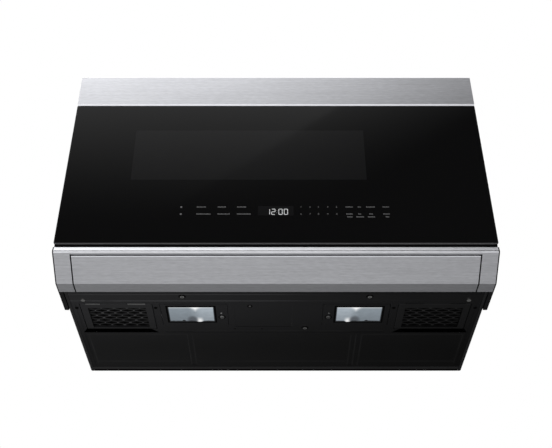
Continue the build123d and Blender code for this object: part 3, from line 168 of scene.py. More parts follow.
class Shader:
    """The nodes of one material, or of the world."""

    def __init__(self, name: str, world: bool = False) -> None:
        """Starts an empty material, or an empty world, with that name."""
        self.owner = (bpy.data.worlds if world else bpy.data.materials).new(name)
        self.owner.use_nodes = True
        self.tree = self.owner.node_tree
        self.tree.nodes.clear()

    def node(
        self,
        kind: str,
        settings: Mapping[str, Any] | None = None,
        sockets: Mapping[str | int, Any] | None = None,
    ) -> bpy.types.Node:
        """Adds one node, sets it up and feeds its sockets.

        Args:
            kind: The node's type.
            settings: Its settings, set before its sockets.
            sockets: Values or links by input name or number.

        Returns:
            The new node.
        """
        made = self.tree.nodes.new(kind)
        for key, value in (settings or {}).items():
            setattr(made, key, value)
        for key, value in (sockets or {}).items():
            target = made.inputs[key]
            if isinstance(value, Value):
                self.tree.links.new(value.socket, target)
            elif isinstance(value, bpy.types.NodeSocket):
                self.tree.links.new(value, target)
            elif isinstance(value, tuple) and len(value) == 3 and target.type == "RGBA":
                target.default_value = (*value, 1.0)
            else:
                target.default_value = value
        return made

    def maths(self, operation: str, *terms: Value | float) -> Value:
        """Adds a Math node on the terms and gives its value."""
        made = self.node("ShaderNodeMath", {"operation": operation}, dict(enumerate(terms)))
        return Value(self, made.outputs[0])

    def place(self, scale: Point | float = 1.0) -> bpy.types.NodeSocket:
        """Gives scaled object coordinates.

        Args:
            scale: What every coordinate is multiplied by, or each one.

        Returns:
            The vector socket.
        """
        factors = scale if isinstance(scale, tuple) else (scale,) * 3
        source = self.node("ShaderNodeTexCoord").outputs["Object"]
        made = self.node("ShaderNodeMapping", None, {"Vector": source, "Scale": factors})
        return made.outputs["Vector"]

    def xyz(self) -> tuple[Value, Value, Value]:
        """Gives the object coordinates one by one."""
        made = self.node("ShaderNodeSeparateXYZ", None, {0: self.place()})
        return tuple(Value(self, made.outputs[axis]) for axis in "XYZ")

    def noise(self, scale: Point | float, detail: float = 2.0, rough: float = 0.5) -> Value:
        """Gives cloudy noise.

        Args:
            scale: Features per metre, for all axes or for each.
            detail: How many finer layers it has.
            rough: How strong the finer layers are.

        Returns:
            The noise, about 0.5 on average.
        """
        sockets = {"Vector": self.place(scale), "Scale": 1.0, "Detail": detail,
                   "Roughness": rough}
        made = self.node("ShaderNodeTexNoise", None, sockets)
        return Value(self, made.outputs["Fac"])

    def cells(self, scale: Point | float, feature: str = "F1", out: str = "Distance") -> Any:
        """Gives a cell pattern's distance or colour socket.

        Args:
            scale: Cells per metre, for all axes or for each.
            feature: Which distance is measured.
            out: The output's name.

        Returns:
            The output socket.
        """
        sockets = {"Vector": self.place(scale), "Scale": 1.0}
        made = self.node("ShaderNodeTexVoronoi", {"feature": feature}, sockets)
        return made.outputs[out]

    def red(self, colour: bpy.types.NodeSocket) -> Value:
        """Gives the red part of a colour."""
        made = self.node("ShaderNodeSeparateColor", None, {0: colour})
        return Value(self, made.outputs[0])

    def mix(self, factor: Value | float, first: Any, second: Any) -> Any:
        """Blends two colours.

        Args:
            factor: 0 gives the first, 1 the second.
            first: Colour or socket.
            second: Colour or socket.

        Returns:
            The blended colour's socket.
        """
        made = self.node(
            "ShaderNodeMix",
            {"data_type": "RGBA", "clamp_factor": True},
            {0: factor, 6: first, 7: second},
        )
        return made.outputs[2]

    def uneven(self, mask: Value, colour: Colour, tones: Span) -> Any:
        """Makes a colour uneven.

        Args:
            mask: 0 gives the first tone, 1 the second.
            colour: The colour.
            tones: Brightness of the first and the second tone.

        Returns:
            The uneven colour's socket.
        """
        return self.mix(mask, *(shade(colour, tone) for tone in tones))

    def bump(self, height: Value, depth: float, strength: float = 1.0) -> Any:
        """Turns a height from 0 to 1 into a normal.

        Args:
            height: The height.
            depth: How deep 1 is, in metres.
            strength: How much of the effect is used.

        Returns:
            The normal's socket.
        """
        sockets = {"Height": height, "Distance": depth, "Strength": strength}
        return self.node("ShaderNodeBump", None, sockets).outputs["Normal"]

    def surface(self, **sockets: Any) -> None:
        """Ends the material in one glossy surface.

        Args:
            **sockets: Socket values, with _ for each space of a socket's name.
        """
        named = {key.replace("_", " "): value for key, value in sockets.items()}
        made = self.node("ShaderNodeBsdfPrincipled", None, named)
        self.node("ShaderNodeOutputMaterial", None, {"Surface": made.outputs["BSDF"]})


def shade(colour: Colour, by: float) -> Colour:
    """Gives a colour made lighter or darker by a factor."""
    return tuple(min(1.0, channel * by) for channel in colour)


# ---------------------------------------------------------------- finishes
@dataclass(frozen=True)
class Finish:
    """A finish of the oven, known by its name and its slot in the record."""

    name: str
    slot: str

    def material(self) -> bpy.types.Material:
        """Gives the finish's material, made the first time it is asked for."""
        found = bpy.data.materials.get(self.name)
        if found:
            return found
        shader = Shader(self.name)
        self.paint(shader)
        return shader.owner

    def paint(self, shader: Shader) -> None:
        """Adds the finish's nodes."""
        raise NotImplementedError


@dataclass(frozen=True)
class BrushedSteel(Finish):
    """Stainless steel with grain lines along X."""

    tint: Colour = (0.595, 0.601, 0.630)
    tones: Span = (0.86, 1.12)
    roughness: float = 0.33
    line: float = 0.35 * MM
    streak: float = 60 * MM
    dash: float = 13 * MM
    shares: tuple[float, float, float] = (0.35, 0.25, 0.4)
    depth: float = 0.02 * MM

    def paint(self, shader: Shader) -> None:
        """Adds fine grain, broad streaks, short dashes and a faint cloud of handling marks."""
        across = 1 / self.line
        fine = shader.noise((1 / self.streak, across, across), 3.0, 0.6)
        broad = shader.noise((0.4 / self.streak, across / 7, across / 7))
        cloud = shader.noise(7.0, 3.0)
        short = shader.noise((1 / self.dash, across / 6, across / 6), 2.0, 0.6)
        fine_share, broad_share, short_share = self.shares
        grain = fine * fine_share + broad * broad_share + short * short_share
        shader.surface(
            Base_Color=shader.uneven(grain.ramp(*CONTRAST), self.tint, self.tones),
            Metallic=1.0, Roughness=self.roughness + grain.swing(0.22) + cloud.swing(0.05),
            Normal=shader.bump(grain, self.depth, 0.35),
        )


@dataclass(frozen=True)
class PaintedSheet(Finish):
    """Powder-coated steel with a fine orange peel."""

    colour: Colour = (0.02, 0.02, 0.022)
    roughness: float = 0.45
    peel: float = 0.9 * MM
    depth: float = 0.012 * MM
    gloss: float = 0.5
    tones: Span = (0.88, 1.14)
    cloud: float = 11.0

    def paint(self, shader: Shader) -> None:
        """Adds a slightly uneven colour under the coat's gloss."""
        cloud = shader.noise(self.cloud, 3.0)
        colour = shader.uneven(cloud.ramp(*CONTRAST), self.colour, self.tones)
        self.coat(shader, cloud, colour)

    def coat(self, shader: Shader, cloud: Value, colour: bpy.types.NodeSocket) -> None:
        """Ends the material in a coat with orange peel and an uneven sheen.

        Args:
            shader: The material's nodes.
            cloud: Noise that the sheen follows.
            colour: The coat's colour.
        """
        peel = shader.noise(1 / self.peel)
        shader.surface(
            Base_Color=colour, Specular_IOR_Level=self.gloss,
            Roughness=self.roughness + cloud.swing(0.14) + peel.swing(0.10),
            Normal=shader.bump(peel, self.depth),
        )


@dataclass(frozen=True)
class UnderPaint(PaintedSheet):
    """Paint seen from below, with painted shade to the rear and right and painted highlights on
    beads and edges.
    """

    lightest: float = 3.0
    front: Span = (-270 * MM, -92 * MM)
    sides: Span = (-360 * MM, 360 * MM)
    rear_shade: float = 0.83
    right_shade: float = 0.74
    crests: tuple[Span, ...] = ()
    crest_highlight: Colour = (0.036, 0.036, 0.038)
    crest_highlight_breakup: Span = (0.15, 0.5)
    crest_fade: Span = (-110 * MM, 150 * MM)
    edges: tuple[tuple[Span, Span], ...] = ()
    edge_highlight: Colour = (0.0135, 0.0135, 0.014)
    edge_highlight_breakup: Span = (0.2, 0.6)
    edge_loss: float = 0.5
    soft: float = 0.5 * MM

    def paint(self, shader: Shader) -> None:
        """Paints shade to the rear and right, and highlights on the beads' crests and the edges.
        """
        x, y, _ = shader.xyz()
        cloud = shader.noise(self.cloud, 3.0)
        rightward = x.ramp(*self.sides)
        # Painted shade: the paint darkens to the rear and to the right.
        level = 1.0 - y.ramp(*self.front) * self.rear_shade
        level = level * (1.0 - rightward * self.right_shade) * (0.9 + cloud * 0.2)
        colour = shader.mix(level, BLACK, shade(self.colour, self.lightest))
        # Painted highlights along the beads' crests, patchy and fading to the right.
        for span in self.crests:
            crest = y.within(span, self.soft) * (1.0 - x.ramp(*self.crest_fade))
            colour = shader.mix(crest * cloud.ramp(*self.crest_highlight_breakup), colour, self.crest_highlight)
        # Painted highlights along the pressed edges, patchy and weaker to the right.
        if self.edges:
            off_edges = math.prod(1.0 - x.within(x_span, self.soft) * y.within(y_span, self.soft)
                               for x_span, y_span in self.edges)
            edge_lit = (1.0 - off_edges) * cloud.ramp(*self.edge_highlight_breakup)
            edge_lit = edge_lit * (1.0 - rightward * self.edge_loss)
            colour = shader.mix(edge_lit, colour, self.edge_highlight)
        self.coat(shader, cloud, colour)


@dataclass(frozen=True)
class PerforatedSheet(Finish):
    """Painted sheet with rows of small round holes over its sight window."""

    colour: Colour = (0.015, 0.015, 0.016)
    tones: Span = (0.9, 1.12)
    roughness: float = 0.45
    pitch: float = 2.6 * MM
    hole: float = 0.85 * MM
    hole_shade: Colour = (0.001, 0.001, 0.001)
    depth: float = 0.5 * MM
    window_x: Span = (-268 * MM, 168 * MM)
    window_z: Span = (182 * MM, 303 * MM)
    soft: float = 0.3 * MM

    def paint(self, shader: Shader) -> None:
        """Paints the holes as dark dots of painted shade and lets their rims dip."""
        x, _, z = shader.xyz()
        column, row = x.from_middle(self.pitch), z.from_middle(self.pitch)
        reach = shader.maths("SQRT", row * row + column * column)
        window = x.within(self.window_x, self.soft) * z.within(self.window_z, self.soft)
        hole = (1.0 - reach.ramp(self.hole * 0.85, self.hole * 1.15)) * window
        cloud = shader.noise(12.0, 3.0)
        sheet = shader.uneven(cloud, self.colour, self.tones)
        shader.surface(
            # The holes are dark dots of painted shade.
            Base_Color=shader.mix(hole, sheet, self.hole_shade),
            Roughness=self.roughness + hole * 0.4 + cloud.swing(0.1),
            Normal=shader.bump(1.0 - hole, self.depth),
        )


@dataclass(frozen=True)
class ZincSheet(Finish):
    """Galvanised steel with crystal spangles."""

    colour: Colour = (0.50, 0.51, 0.52)
    tones: Span = (0.86, 1.1)
    roughness: float = 0.36
    spangle: float = 9 * MM
    grit_count: float = 900.0
    depth: float = 0.01 * MM

    def paint(self, shader: Shader) -> None:
        """Gives each crystal its own tone and roughness."""
        tone = shader.red(shader.cells(1 / self.spangle, "F1", "Color"))
        fine = shader.noise(self.grit_count)
        shader.surface(
            Base_Color=shader.uneven(tone, self.colour, self.tones), Metallic=0.85,
            Roughness=self.roughness + tone * 0.2 + fine.swing(0.1),
            Normal=shader.bump(fine, self.depth),
        )


@dataclass(frozen=True)
class DoorGlass(Finish):
    """Black-printed door glass with a slightly lighter sight window."""

    window_x: Span = (-260.8 * MM, 162.8 * MM)
    window_z: Span = (185 * MM, 301.8 * MM)
    print_colour: Colour = (0.0062, 0.0062, 0.0064)
    window_colour: Colour = (0.0155, 0.0155, 0.016)
    dot: float = 1.6 * MM
    dot_share: float = 0.33
    dot_tone: float = 0.55
    display_x: Span = (-31.3 * MM, 30.5 * MM)
    display_z: Span = (105.9 * MM, 125.9 * MM)
    display_colour: Colour = (0.0115, 0.0115, 0.012)
    soft: float = 0.4 * MM
    roughness: float = 0.035
    ground_roughness: float = 0.5
    ground_lit_edge_z: Span = (47.55 * MM, 47.9 * MM)
    edge_highlight_colour: Colour = (0.115, 0.115, 0.12)

    def paint(self, shader: Shader) -> None:
        """Prints the window's dots and leaves the lower edge ground, with a painted highlight.
        """
        x, _, z = shader.xyz()
        window = x.within(self.window_x, self.soft) * z.within(self.window_z, self.soft)
        row, column = x.from_middle(self.dot), z.from_middle(self.dot)
        dots = (row * row + column * column) < (self.dot * self.dot_share) ** 2
        smear = shader.noise(5.0, 3.0)
        lit = shader.uneven(dots, self.window_colour, (1.0, self.dot_tone))
        colour = shader.mix(window, self.print_colour, lit)
        display = x.within(self.display_x, self.soft) * z.within(self.display_z, self.soft)
        colour = shader.mix(display, colour, self.display_colour)
        # The ground lower edge is rough, and lighter as a painted highlight.
        ground_lit_edge = 1.0 - z.ramp(*self.ground_lit_edge_z)
        shader.surface(
            Base_Color=shader.mix(ground_lit_edge, colour, self.edge_highlight_colour),
            Roughness=self.roughness + smear * 0.03 + ground_lit_edge * self.ground_roughness,
            Specular_IOR_Level=0.22,
        )


@dataclass(frozen=True)
class ClearGlass(Finish):
    """Clear tempered glass."""

    tint: Colour = (0.86, 0.92, 0.90)
    tones: Span = (1.0, 0.95)
    roughness: float = 0.03
    depth: float = 0.05 * MM

    def paint(self, shader: Shader) -> None:
        """Adds a faint wave to clear glass."""
        wave = shader.noise(40.0)
        shader.surface(
            Base_Color=shader.uneven(wave, self.tint, self.tones), Roughness=self.roughness,
            Transmission_Weight=0.9, IOR=1.47, Alpha=0.55,
            Normal=shader.bump(wave, self.depth),
        )


@dataclass(frozen=True)
class MouldedPlastic(Finish):
    """Moulded plastic with a fine spark-eroded grain."""

    colour: Colour = (0.018, 0.018, 0.02)
    roughness: float = 0.5
    tones: Span = (0.9, 1.12)
    grain: float = 0.7 * MM
    depth: float = 0.02 * MM

    def paint(self, shader: Shader) -> None:
        """Adds the mould's grain and a little unevenness."""
        pits = Value(shader, shader.cells(1 / self.grain))
        cloud = shader.noise(14.0, 3.0)
        shader.surface(
            Base_Color=shader.uneven(cloud.ramp(*CONTRAST), self.colour, self.tones),
            Roughness=self.roughness + cloud.swing(0.12),
            Normal=shader.bump(pits, self.depth),
        )


@dataclass(frozen=True)
class DullMetal(Finish):
    """Cast, drawn or plated metal with an uneven sheen."""

    colour: Colour = (0.42, 0.42, 0.43)
    roughness: float = 0.42
    metallic: float = 1.0
    tones: Span = (1.08, 0.72)
    grit: float = 1.1 * MM
    depth: float = 0.015 * MM
    shade_to_right: float = 0.0
    sides: Span = (-360 * MM, 360 * MM)

    def paint(self, shader: Shader) -> None:
        """Adds grit and grease films, and darkens the metal towards the right as painted shade.
        """
        grit = shader.noise(1 / self.grit, 3.0)
        film = shader.noise(28.0, 3.0)
        colour = shader.uneven(film.ramp(0.35, 0.7), self.colour, self.tones)
        # Painted shade: the metal darkens towards the right.
        if self.shade_to_right:
            right = shader.xyz()[0].ramp(*self.sides)
            colour = shader.mix(right * self.shade_to_right, colour, BLACK)
        shader.surface(
            Base_Color=colour, Metallic=self.metallic,
            Roughness=self.roughness + film.swing(0.2) + grit.swing(0.12),
            Normal=shader.bump(grit, self.depth),
        )


@dataclass(frozen=True)
class LampLens(Finish):
    """Frosted lamp lens in a dark seat, lit from behind by a lamp and its reflector.

    Places on it run from -1 to 1: across from its outer to its inner end, and along from front
    to rear.
    """

    lens_x: float = 0.0
    lens_y: float = 0.0
    inward: float = 1.0
    size: Size = (80.8 * MM, 50.8 * MM)
    body_colour: Colour = (0.02, 0.022, 0.024)
    outer_glow: Colour = (0.205, 0.24, 0.27)
    inner_glow: Colour = (0.38, 0.43, 0.475)
    holder: Colour = (0.075, 0.083, 0.095)
    seat: Colour = (0.001, 0.001, 0.001)
    inner: Span = (-0.05, 0.5)
    blotches: Span = (-0.25, 0.25)
    darker: Span = (-1.0, 0.8)
    lamp_at: float = 0.19
    beam_slope: float = 0.48
    beam: Span = (0.0, 0.46)
    rim: Span = (-1.0, -0.82)
    swell_at: float = 0.33
    swell: Span = (0.03, 0.22)
    swell_rear: Span = (0.25, 0.9)
    holder_at: Size = (0.03, 0.8)
    holder_grow: Size = (14.0, 2.2)
    holder_fade: Span = (0.15, 1.3)
    bite_at: Size = (-0.375, 1.0)
    bite_grow: Size = (110.0, 16.0)
    bite_fade: Span = (0.6, 1.3)
    rear_edge: Span = (0.82, 0.94)
    front_edge: Span = (-1.03, -0.97)
    end_edge: Span = (0.97, 1.01)

    def paint(self, shader: Shader) -> None:
        """Lights the lens: hot over the lamp, grey at its holder, dark along a wavy edge."""
        x, y, _ = shader.xyz()
        across = (x - self.lens_x) * (2 * self.inward / self.size[0])
        along = (y - self.lens_y) / (self.size[1] / 2)
        uneven = shader.noise((90.0, 140.0, 90.0), 4.0, 0.6) - 0.5
        inner = (across + uneven * 0.5).ramp(*self.inner)
        base = shader.mix(inner, self.outer_glow, self.inner_glow)
        blotch = uneven.ramp(*self.blotches) * 0.5
        base = shader.mix(blotch, base, shade(self.outer_glow, 1.3))
        base = shader.mix(along.ramp(*self.darker) * 0.35, base, self.holder)
        spread = abs(across - self.lamp_at) + (along + 1.0) * self.beam_slope
        beam = 1.0 - spread.ramp(*self.beam)
        rim = 1.0 - along.ramp(*self.rim)
        swell = 1.0 - abs(across - self.swell_at).ramp(*self.swell)
        hot = beam * beam + rim * 0.4 + swell * along.ramp(*self.swell_rear) * 0.8
        lit = shader.mix(hot, base, WHITE)
        holder = self.oval(across, along, self.holder_at, self.holder_grow)
        lit = shader.mix((1.0 - holder.ramp(*self.holder_fade)) * 0.95, lit, self.holder)
        bite = self.oval(across, along, self.bite_at, self.bite_grow).ramp(*self.bite_fade)
        wave = uneven * 0.22 + swell * 0.16
        seen = (1.0 - (along - wave).ramp(*self.rear_edge)) * along.ramp(*self.front_edge)
        seen = seen * (1.0 - abs(across).ramp(*self.end_edge)) * bite
        shader.surface(
            Base_Color=self.body_colour, Roughness=0.3, Specular_IOR_Level=0.2,
            Emission_Color=shader.mix(seen, self.seat, lit), Emission_Strength=1.0,
        )

    def oval(self, across: Value, along: Value, at: Size, grow: Size) -> Value:
        """Measures how far out of an oval a place is.

        Args:
            across: The place across the lens.
            along: The place along it.
            at: Middle of the oval.
            grow: How fast the measure grows across and along.

        Returns:
            0 at the middle, growing with the square of the distance.
        """
        off_x, off_y = across - at[0], along - at[1]
        return off_x * off_x * grow[0] + off_y * off_y * grow[1]


@dataclass(frozen=True)
class LitPrint(Finish):
    """Print on or behind the glass, lit a little."""

    colour: Colour = (0.1, 0.1, 0.1)
    glow: float = 0.5
    tones: Span = (0.85, 1.15)

    def paint(self, shader: Shader) -> None:
        """Adds slightly uneven light to flat print."""
        colour = shader.uneven(shader.noise(220.0), self.colour, self.tones)
        shader.surface(
            Base_Color=colour, Roughness=0.4, Emission_Color=colour,
            Emission_Strength=self.glow,
        )


@dataclass(frozen=True)
class CircuitBoard(Finish):
    """Fibreglass board with traces under green resist."""

    colour: Colour = (0.02, 0.10, 0.05)
    tones: Span = (1.0, 2.4)
    pitch: float = 3 * MM
    depth: float = 0.03 * MM

    def paint(self, shader: Shader) -> None:
        """Draws traces as the borders of square cells."""
        count = 1 / self.pitch
        edge = Value(shader, shader.cells((count, count, count * 0.6), "DISTANCE_TO_EDGE"))
        trace = 1.0 - edge.ramp(0.04, 0.09)
        shader.surface(
            Base_Color=shader.uneven(trace, self.colour, self.tones),
            Roughness=0.35 + trace * 0.1, Normal=shader.bump(trace, self.depth),
        )


@dataclass(frozen=True)
class Laminations(Finish):
    """Varnished core sheets stacked along Y."""

    core: Colour = (0.10, 0.06, 0.04)
    tones: Span = (0.7, 1.5)
    sheet: float = 0.8 * MM
    depth: float = 0.15 * MM

    def paint(self, shader: Shader) -> None:
        """Draws the stacked sheets' edges."""
        _, y, _ = shader.xyz()
        line = abs((y % self.sheet) / self.sheet - 0.5).ramp(0.3, 0.5)
        film = shader.noise(90.0, 3.0)
        shader.surface(
            Base_Color=shader.uneven(film, self.core, self.tones), Metallic=0.3,
            Roughness=0.4 + film * 0.15, Normal=shader.bump(line, self.depth),
        )


@dataclass(frozen=True)
class Granules(Finish):
    """Loose charcoal granules in a net."""

    colour: Colour = (0.012, 0.012, 0.012)
    tones: Span = (1.0, 5.0)
    grain: float = 2.4 * MM
    depth: float = 1.2 * MM

    def paint(self, shader: Shader) -> None:
        """Makes each granule a dark pebble of its own tone."""
        pebble = Value(shader, shader.cells(1 / self.grain))
        tone = shader.red(shader.cells(1 / self.grain, "F1", "Color"))
        shader.surface(
            Base_Color=shader.uneven(tone, self.colour, self.tones), Roughness=0.8,
            Normal=shader.bump(1.0 - pebble, self.depth),
        )


STEEL = BrushedSteel("brushed_steel", "stainless")
BLACK_COAT = PaintedSheet("black_coat", "black_paint", (0.009, 0.009, 0.0097), 0.42,
                          gloss=0.22)
# Pressed edges of the underside that get painted highlights, in millimetres: from and to along
# X, then along Y.
LIT_EDGES = (
    (-354, -167, -152, -149.5), (-168, -165.5, -150, -24), (-158.5, -156, -150, -24),
    (-155, 140, -163.5, -161), (140, 142.5, -150, -24), (149.5, 152, -150, -24),
    (160, 162.5, -150, -24), (162, 350, -152, -149.5), (-352.5, -350, -150, -34),
    (350, 352.5, -150, -34), (-350, -170, -43, -40), (-152, 138, -43, -40),
    (163, 350, -43, -40), (-30, 29, -260.7, -258.3), (28, 30.3, -259, -181),
    (-204, 201, -166, -164),
)
UNDER_COAT = UnderPaint(
    "under_coat", "underside_paint", (0.006, 0.006, 0.0065), 0.34, gloss=0.12,
    # Painted highlights on these beads' crests.
    crests=(mm(-276.4, -271.6), mm(-297.4, -294.6)),
    edges=tuple((mm(*edge[:2]), mm(*edge[2:])) for edge in LIT_EDGES),
)
ENAMEL = PaintedSheet("oven_enamel", "cavity_enamel", (0.34, 0.35, 0.36), 0.30, 1.6 * MM)
SCREEN_COAT = PerforatedSheet("screen_coat", "door_screen_paint")
ZINC = ZincSheet("zinc_sheet", "galvanised_sheet")
DOOR_GLASS = DoorGlass("door_glass", "black_glass")
PANE = ClearGlass("clear_pane", "clear_glass")
DOOR_PLASTIC = MouldedPlastic("door_plastic", "door_plastic", (0.010, 0.010, 0.011))
TRAY_PLASTIC = MouldedPlastic("tray_plastic", "tray_plastic", (0.03, 0.03, 0.033))
# The filters' paint, mesh and knots get the same painted shade to the rear and right as the
# underside.
FILTER_METAL = UnderPaint("filter_metal", "filter_aluminium", (0.0065, 0.0065, 0.007), 0.36,
                          gloss=0.15)
TAB_METAL = DullMetal("tab_metal", "filter_aluminium", (0.22, 0.22, 0.22), 0.42)
MESH_METAL = UnderPaint("mesh_metal", "filter_aluminium", (0.0042, 0.0042, 0.0044), 0.4,
                        gloss=0.12)
# The mesh's knots are lighter than its strands as a painted highlight.
KNOT_HIGHLIGHT = UnderPaint("knot_highlight", "filter_aluminium", (0.036, 0.036, 0.037), 0.4,
                        gloss=0.2)
CAPTIVE = DullMetal("captive_steel", "screw_steel", (0.22, 0.22, 0.22), 0.4, shade_to_right=0.5)
RIVET = DullMetal("rivet_steel", "screw_steel", (0.12, 0.12, 0.12), 0.4)
# Near-black paint for pieces that stand for shade in gaps, holes, recesses and round heads.
SHADE_PAINT = PaintedSheet("painted_shade", "underside_paint", (0.002, 0.002, 0.002), 0.7,
                          gloss=0.02)
SIDE_TRIM = PaintedSheet("side_trim", "door_plastic", (0.005, 0.005, 0.0055), 0.45, gloss=0.14)
DOOR_MOULDING = PaintedSheet("door_moulding", "door_plastic", (0.0025, 0.0025, 0.0027), 0.6,
                             gloss=0.06)
LATCH_PLASTIC = MouldedPlastic("latch_plastic", "latch_plastic", (0.6, 0.6, 0.56), 0.42)
SWITCH_PLASTIC = MouldedPlastic("switch_plastic", "switch_plastic", (0.05, 0.05, 0.055), 0.35)
WHEEL_PLASTIC = MouldedPlastic("wheel_plastic", "wheel_plastic", (0.74, 0.73, 0.7), 0.4)
DIODE_PLASTIC = MouldedPlastic("diode_plastic", "diode_body", (0.03, 0.03, 0.03), 0.3)
RUBBER = MouldedPlastic("gland_rubber", "gland_rubber", (0.028, 0.028, 0.028), 0.75)
SPRING = DullMetal("spring_wire", "spring_steel", (0.6, 0.6, 0.6), 0.22)
SCREW = DullMetal("screw_steel", "screw_steel", (0.42, 0.42, 0.42), 0.34, 0.9, shade_to_right=0.7)
MOTOR = DullMetal("motor_steel", "motor_steel", (0.32, 0.33, 0.34), 0.4, 0.7)
CAN = DullMetal("capacitor_can", "capacitor_can", (0.5, 0.5, 0.51), 0.35, 0.9)
CORE = Laminations("core_sheets", "transformer_core")
BOARD = CircuitBoard("circuit_board", "circuit_board")
DISPLAY = MouldedPlastic("display_window", "display", (0.02, 0.02, 0.022), 0.2)
CHARCOAL = Granules("charcoal_grains", "charcoal")
CLOCK_LIGHT = LitPrint("clock_light", "display", (0.58, 0.59, 0.60), 0.5)
KEY_PRINT = LitPrint("key_print", "display", (0.105, 0.105, 0.107), 0.33)


def dress(finish: Finish, *nodes: str) -> None:
    """Gives CAD nodes a finish.

    Args:
        finish: The finish.
        *nodes: The nodes' names.
    """
    for name in nodes:
        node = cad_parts[name]
        if node.material_slots:
            node.material_slots[0].material = finish.material()
        else:
            node.data.materials.append(finish.material())
        log.info("dressed %s in %s", name, finish.name)


# ---------------------------------------------------------------- mesh tools
class Body(Enum):
    """Bodies of the frame that new pieces ride on."""

    CABINET = "cabinet"
    DOOR = "door"
    FILTER_LEFT = "filter_left"
    FILTER_RIGHT = "filter_right"
    LAMP_COVER_LEFT = "lamp_cover_left"
    LAMP_COVER_RIGHT = "lamp_cover_right"


def link_shape(name: str, shape: bmesh.types.BMesh,
               material: bpy.types.Material) -> bpy.types.Object:
    """Turns a finished shape into an object of the scene.

    Args:
        name: The object's name.
        shape: The shape, which is freed.
        material: Its material.

    Returns:
        The object.
    """
    mesh = bpy.data.meshes.new(name)
    shape.to_mesh(mesh)
    shape.free()
    mesh.materials.append(material)
    made = bpy.data.objects.new(name, mesh)
    bpy.context.scene.collection.objects.link(made)
    return made


def piece(name: str, shape: bmesh.types.BMesh, finish: Finish, body: Body) -> bpy.types.Object:
    """Turns a finished shape into a piece that rides on a body.

    Args:
        name: The piece's name.
        shape: The shape, which is freed.
        finish: The piece's finish.
        body: The body it moves with.

    Returns:
        The piece.
    """
    made = link_shape(name, shape, finish.material())
    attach(made, body.value)
    log.info("made %s, %d faces, on %s", name, len(made.data.polygons), body.value)
    return made


def add_bar(shape: bmesh.types.BMesh, x: Span, y: Span, z: Span) -> None:
    """Adds a straight-sided bar to a shape.

    Args:
        shape: The shape that it joins.
        x: Its span along X.
        y: Its span along Y.
        z: Its span along Z.
    """
    centre = Matrix.Translation((sum(x) / 2, sum(y) / 2, sum(z) / 2))
    size = Matrix.Diagonal((abs(x[1] - x[0]), abs(y[1] - y[0]), abs(z[1] - z[0]), 1.0))
    bmesh.ops.create_cube(shape, size=1.0, matrix=centre @ size)


def add_strut(shape: bmesh.types.BMesh, start: Vector, end: Vector, width: float,
              thick: float) -> None:
    """Adds a flat strut between two points.

    Args:
        shape: The shape that it joins.
        start: One end.
        end: The other end.
        width: Its width.
        thick: Its thickness.
    """
    along = end - start
    turn = along.to_track_quat("X", "Z").to_matrix().to_4x4()
    size = Matrix.Diagonal((along.length, width, thick, 1.0))
    move = Matrix.Translation((start + end) / 2) @ turn @ size
    bmesh.ops.create_cube(shape, size=1.0, matrix=move)


def add_disc(shape: bmesh.types.BMesh, at: Point, radius: float, height: float,
             low_radius: float | None = None) -> None:
    """Adds a round disc that reaches down from a point.

    Args:
        shape: The shape that it joins.
        at: Middle of its upper face.
        radius: Radius of its upper face.
        height: How far down it reaches.
        low_radius: Radius of its lower face, if it differs.
    """
    bmesh.ops.create_cone(
        shape, cap_ends=True, segments=28, radius1=low_radius or radius, radius2=radius,
        depth=height, matrix=Matrix.Translation((at[0], at[1], at[2] - height / 2)),
    )


def plates(name: str, spans: Iterable[tuple[Span, Span, Span]], finish: Finish,
           body: Body) -> None:
    """Makes a piece of straight-sided bars.

    Args:
        name: The piece's name.
        spans: Each bar's spans along X, Y and Z.
        finish: The piece's finish.
        body: The body it moves with.
    """
    shape = bmesh.new()
    for x, y, z in spans:
        add_bar(shape, x, y, z)
    piece(name, shape, finish, body)


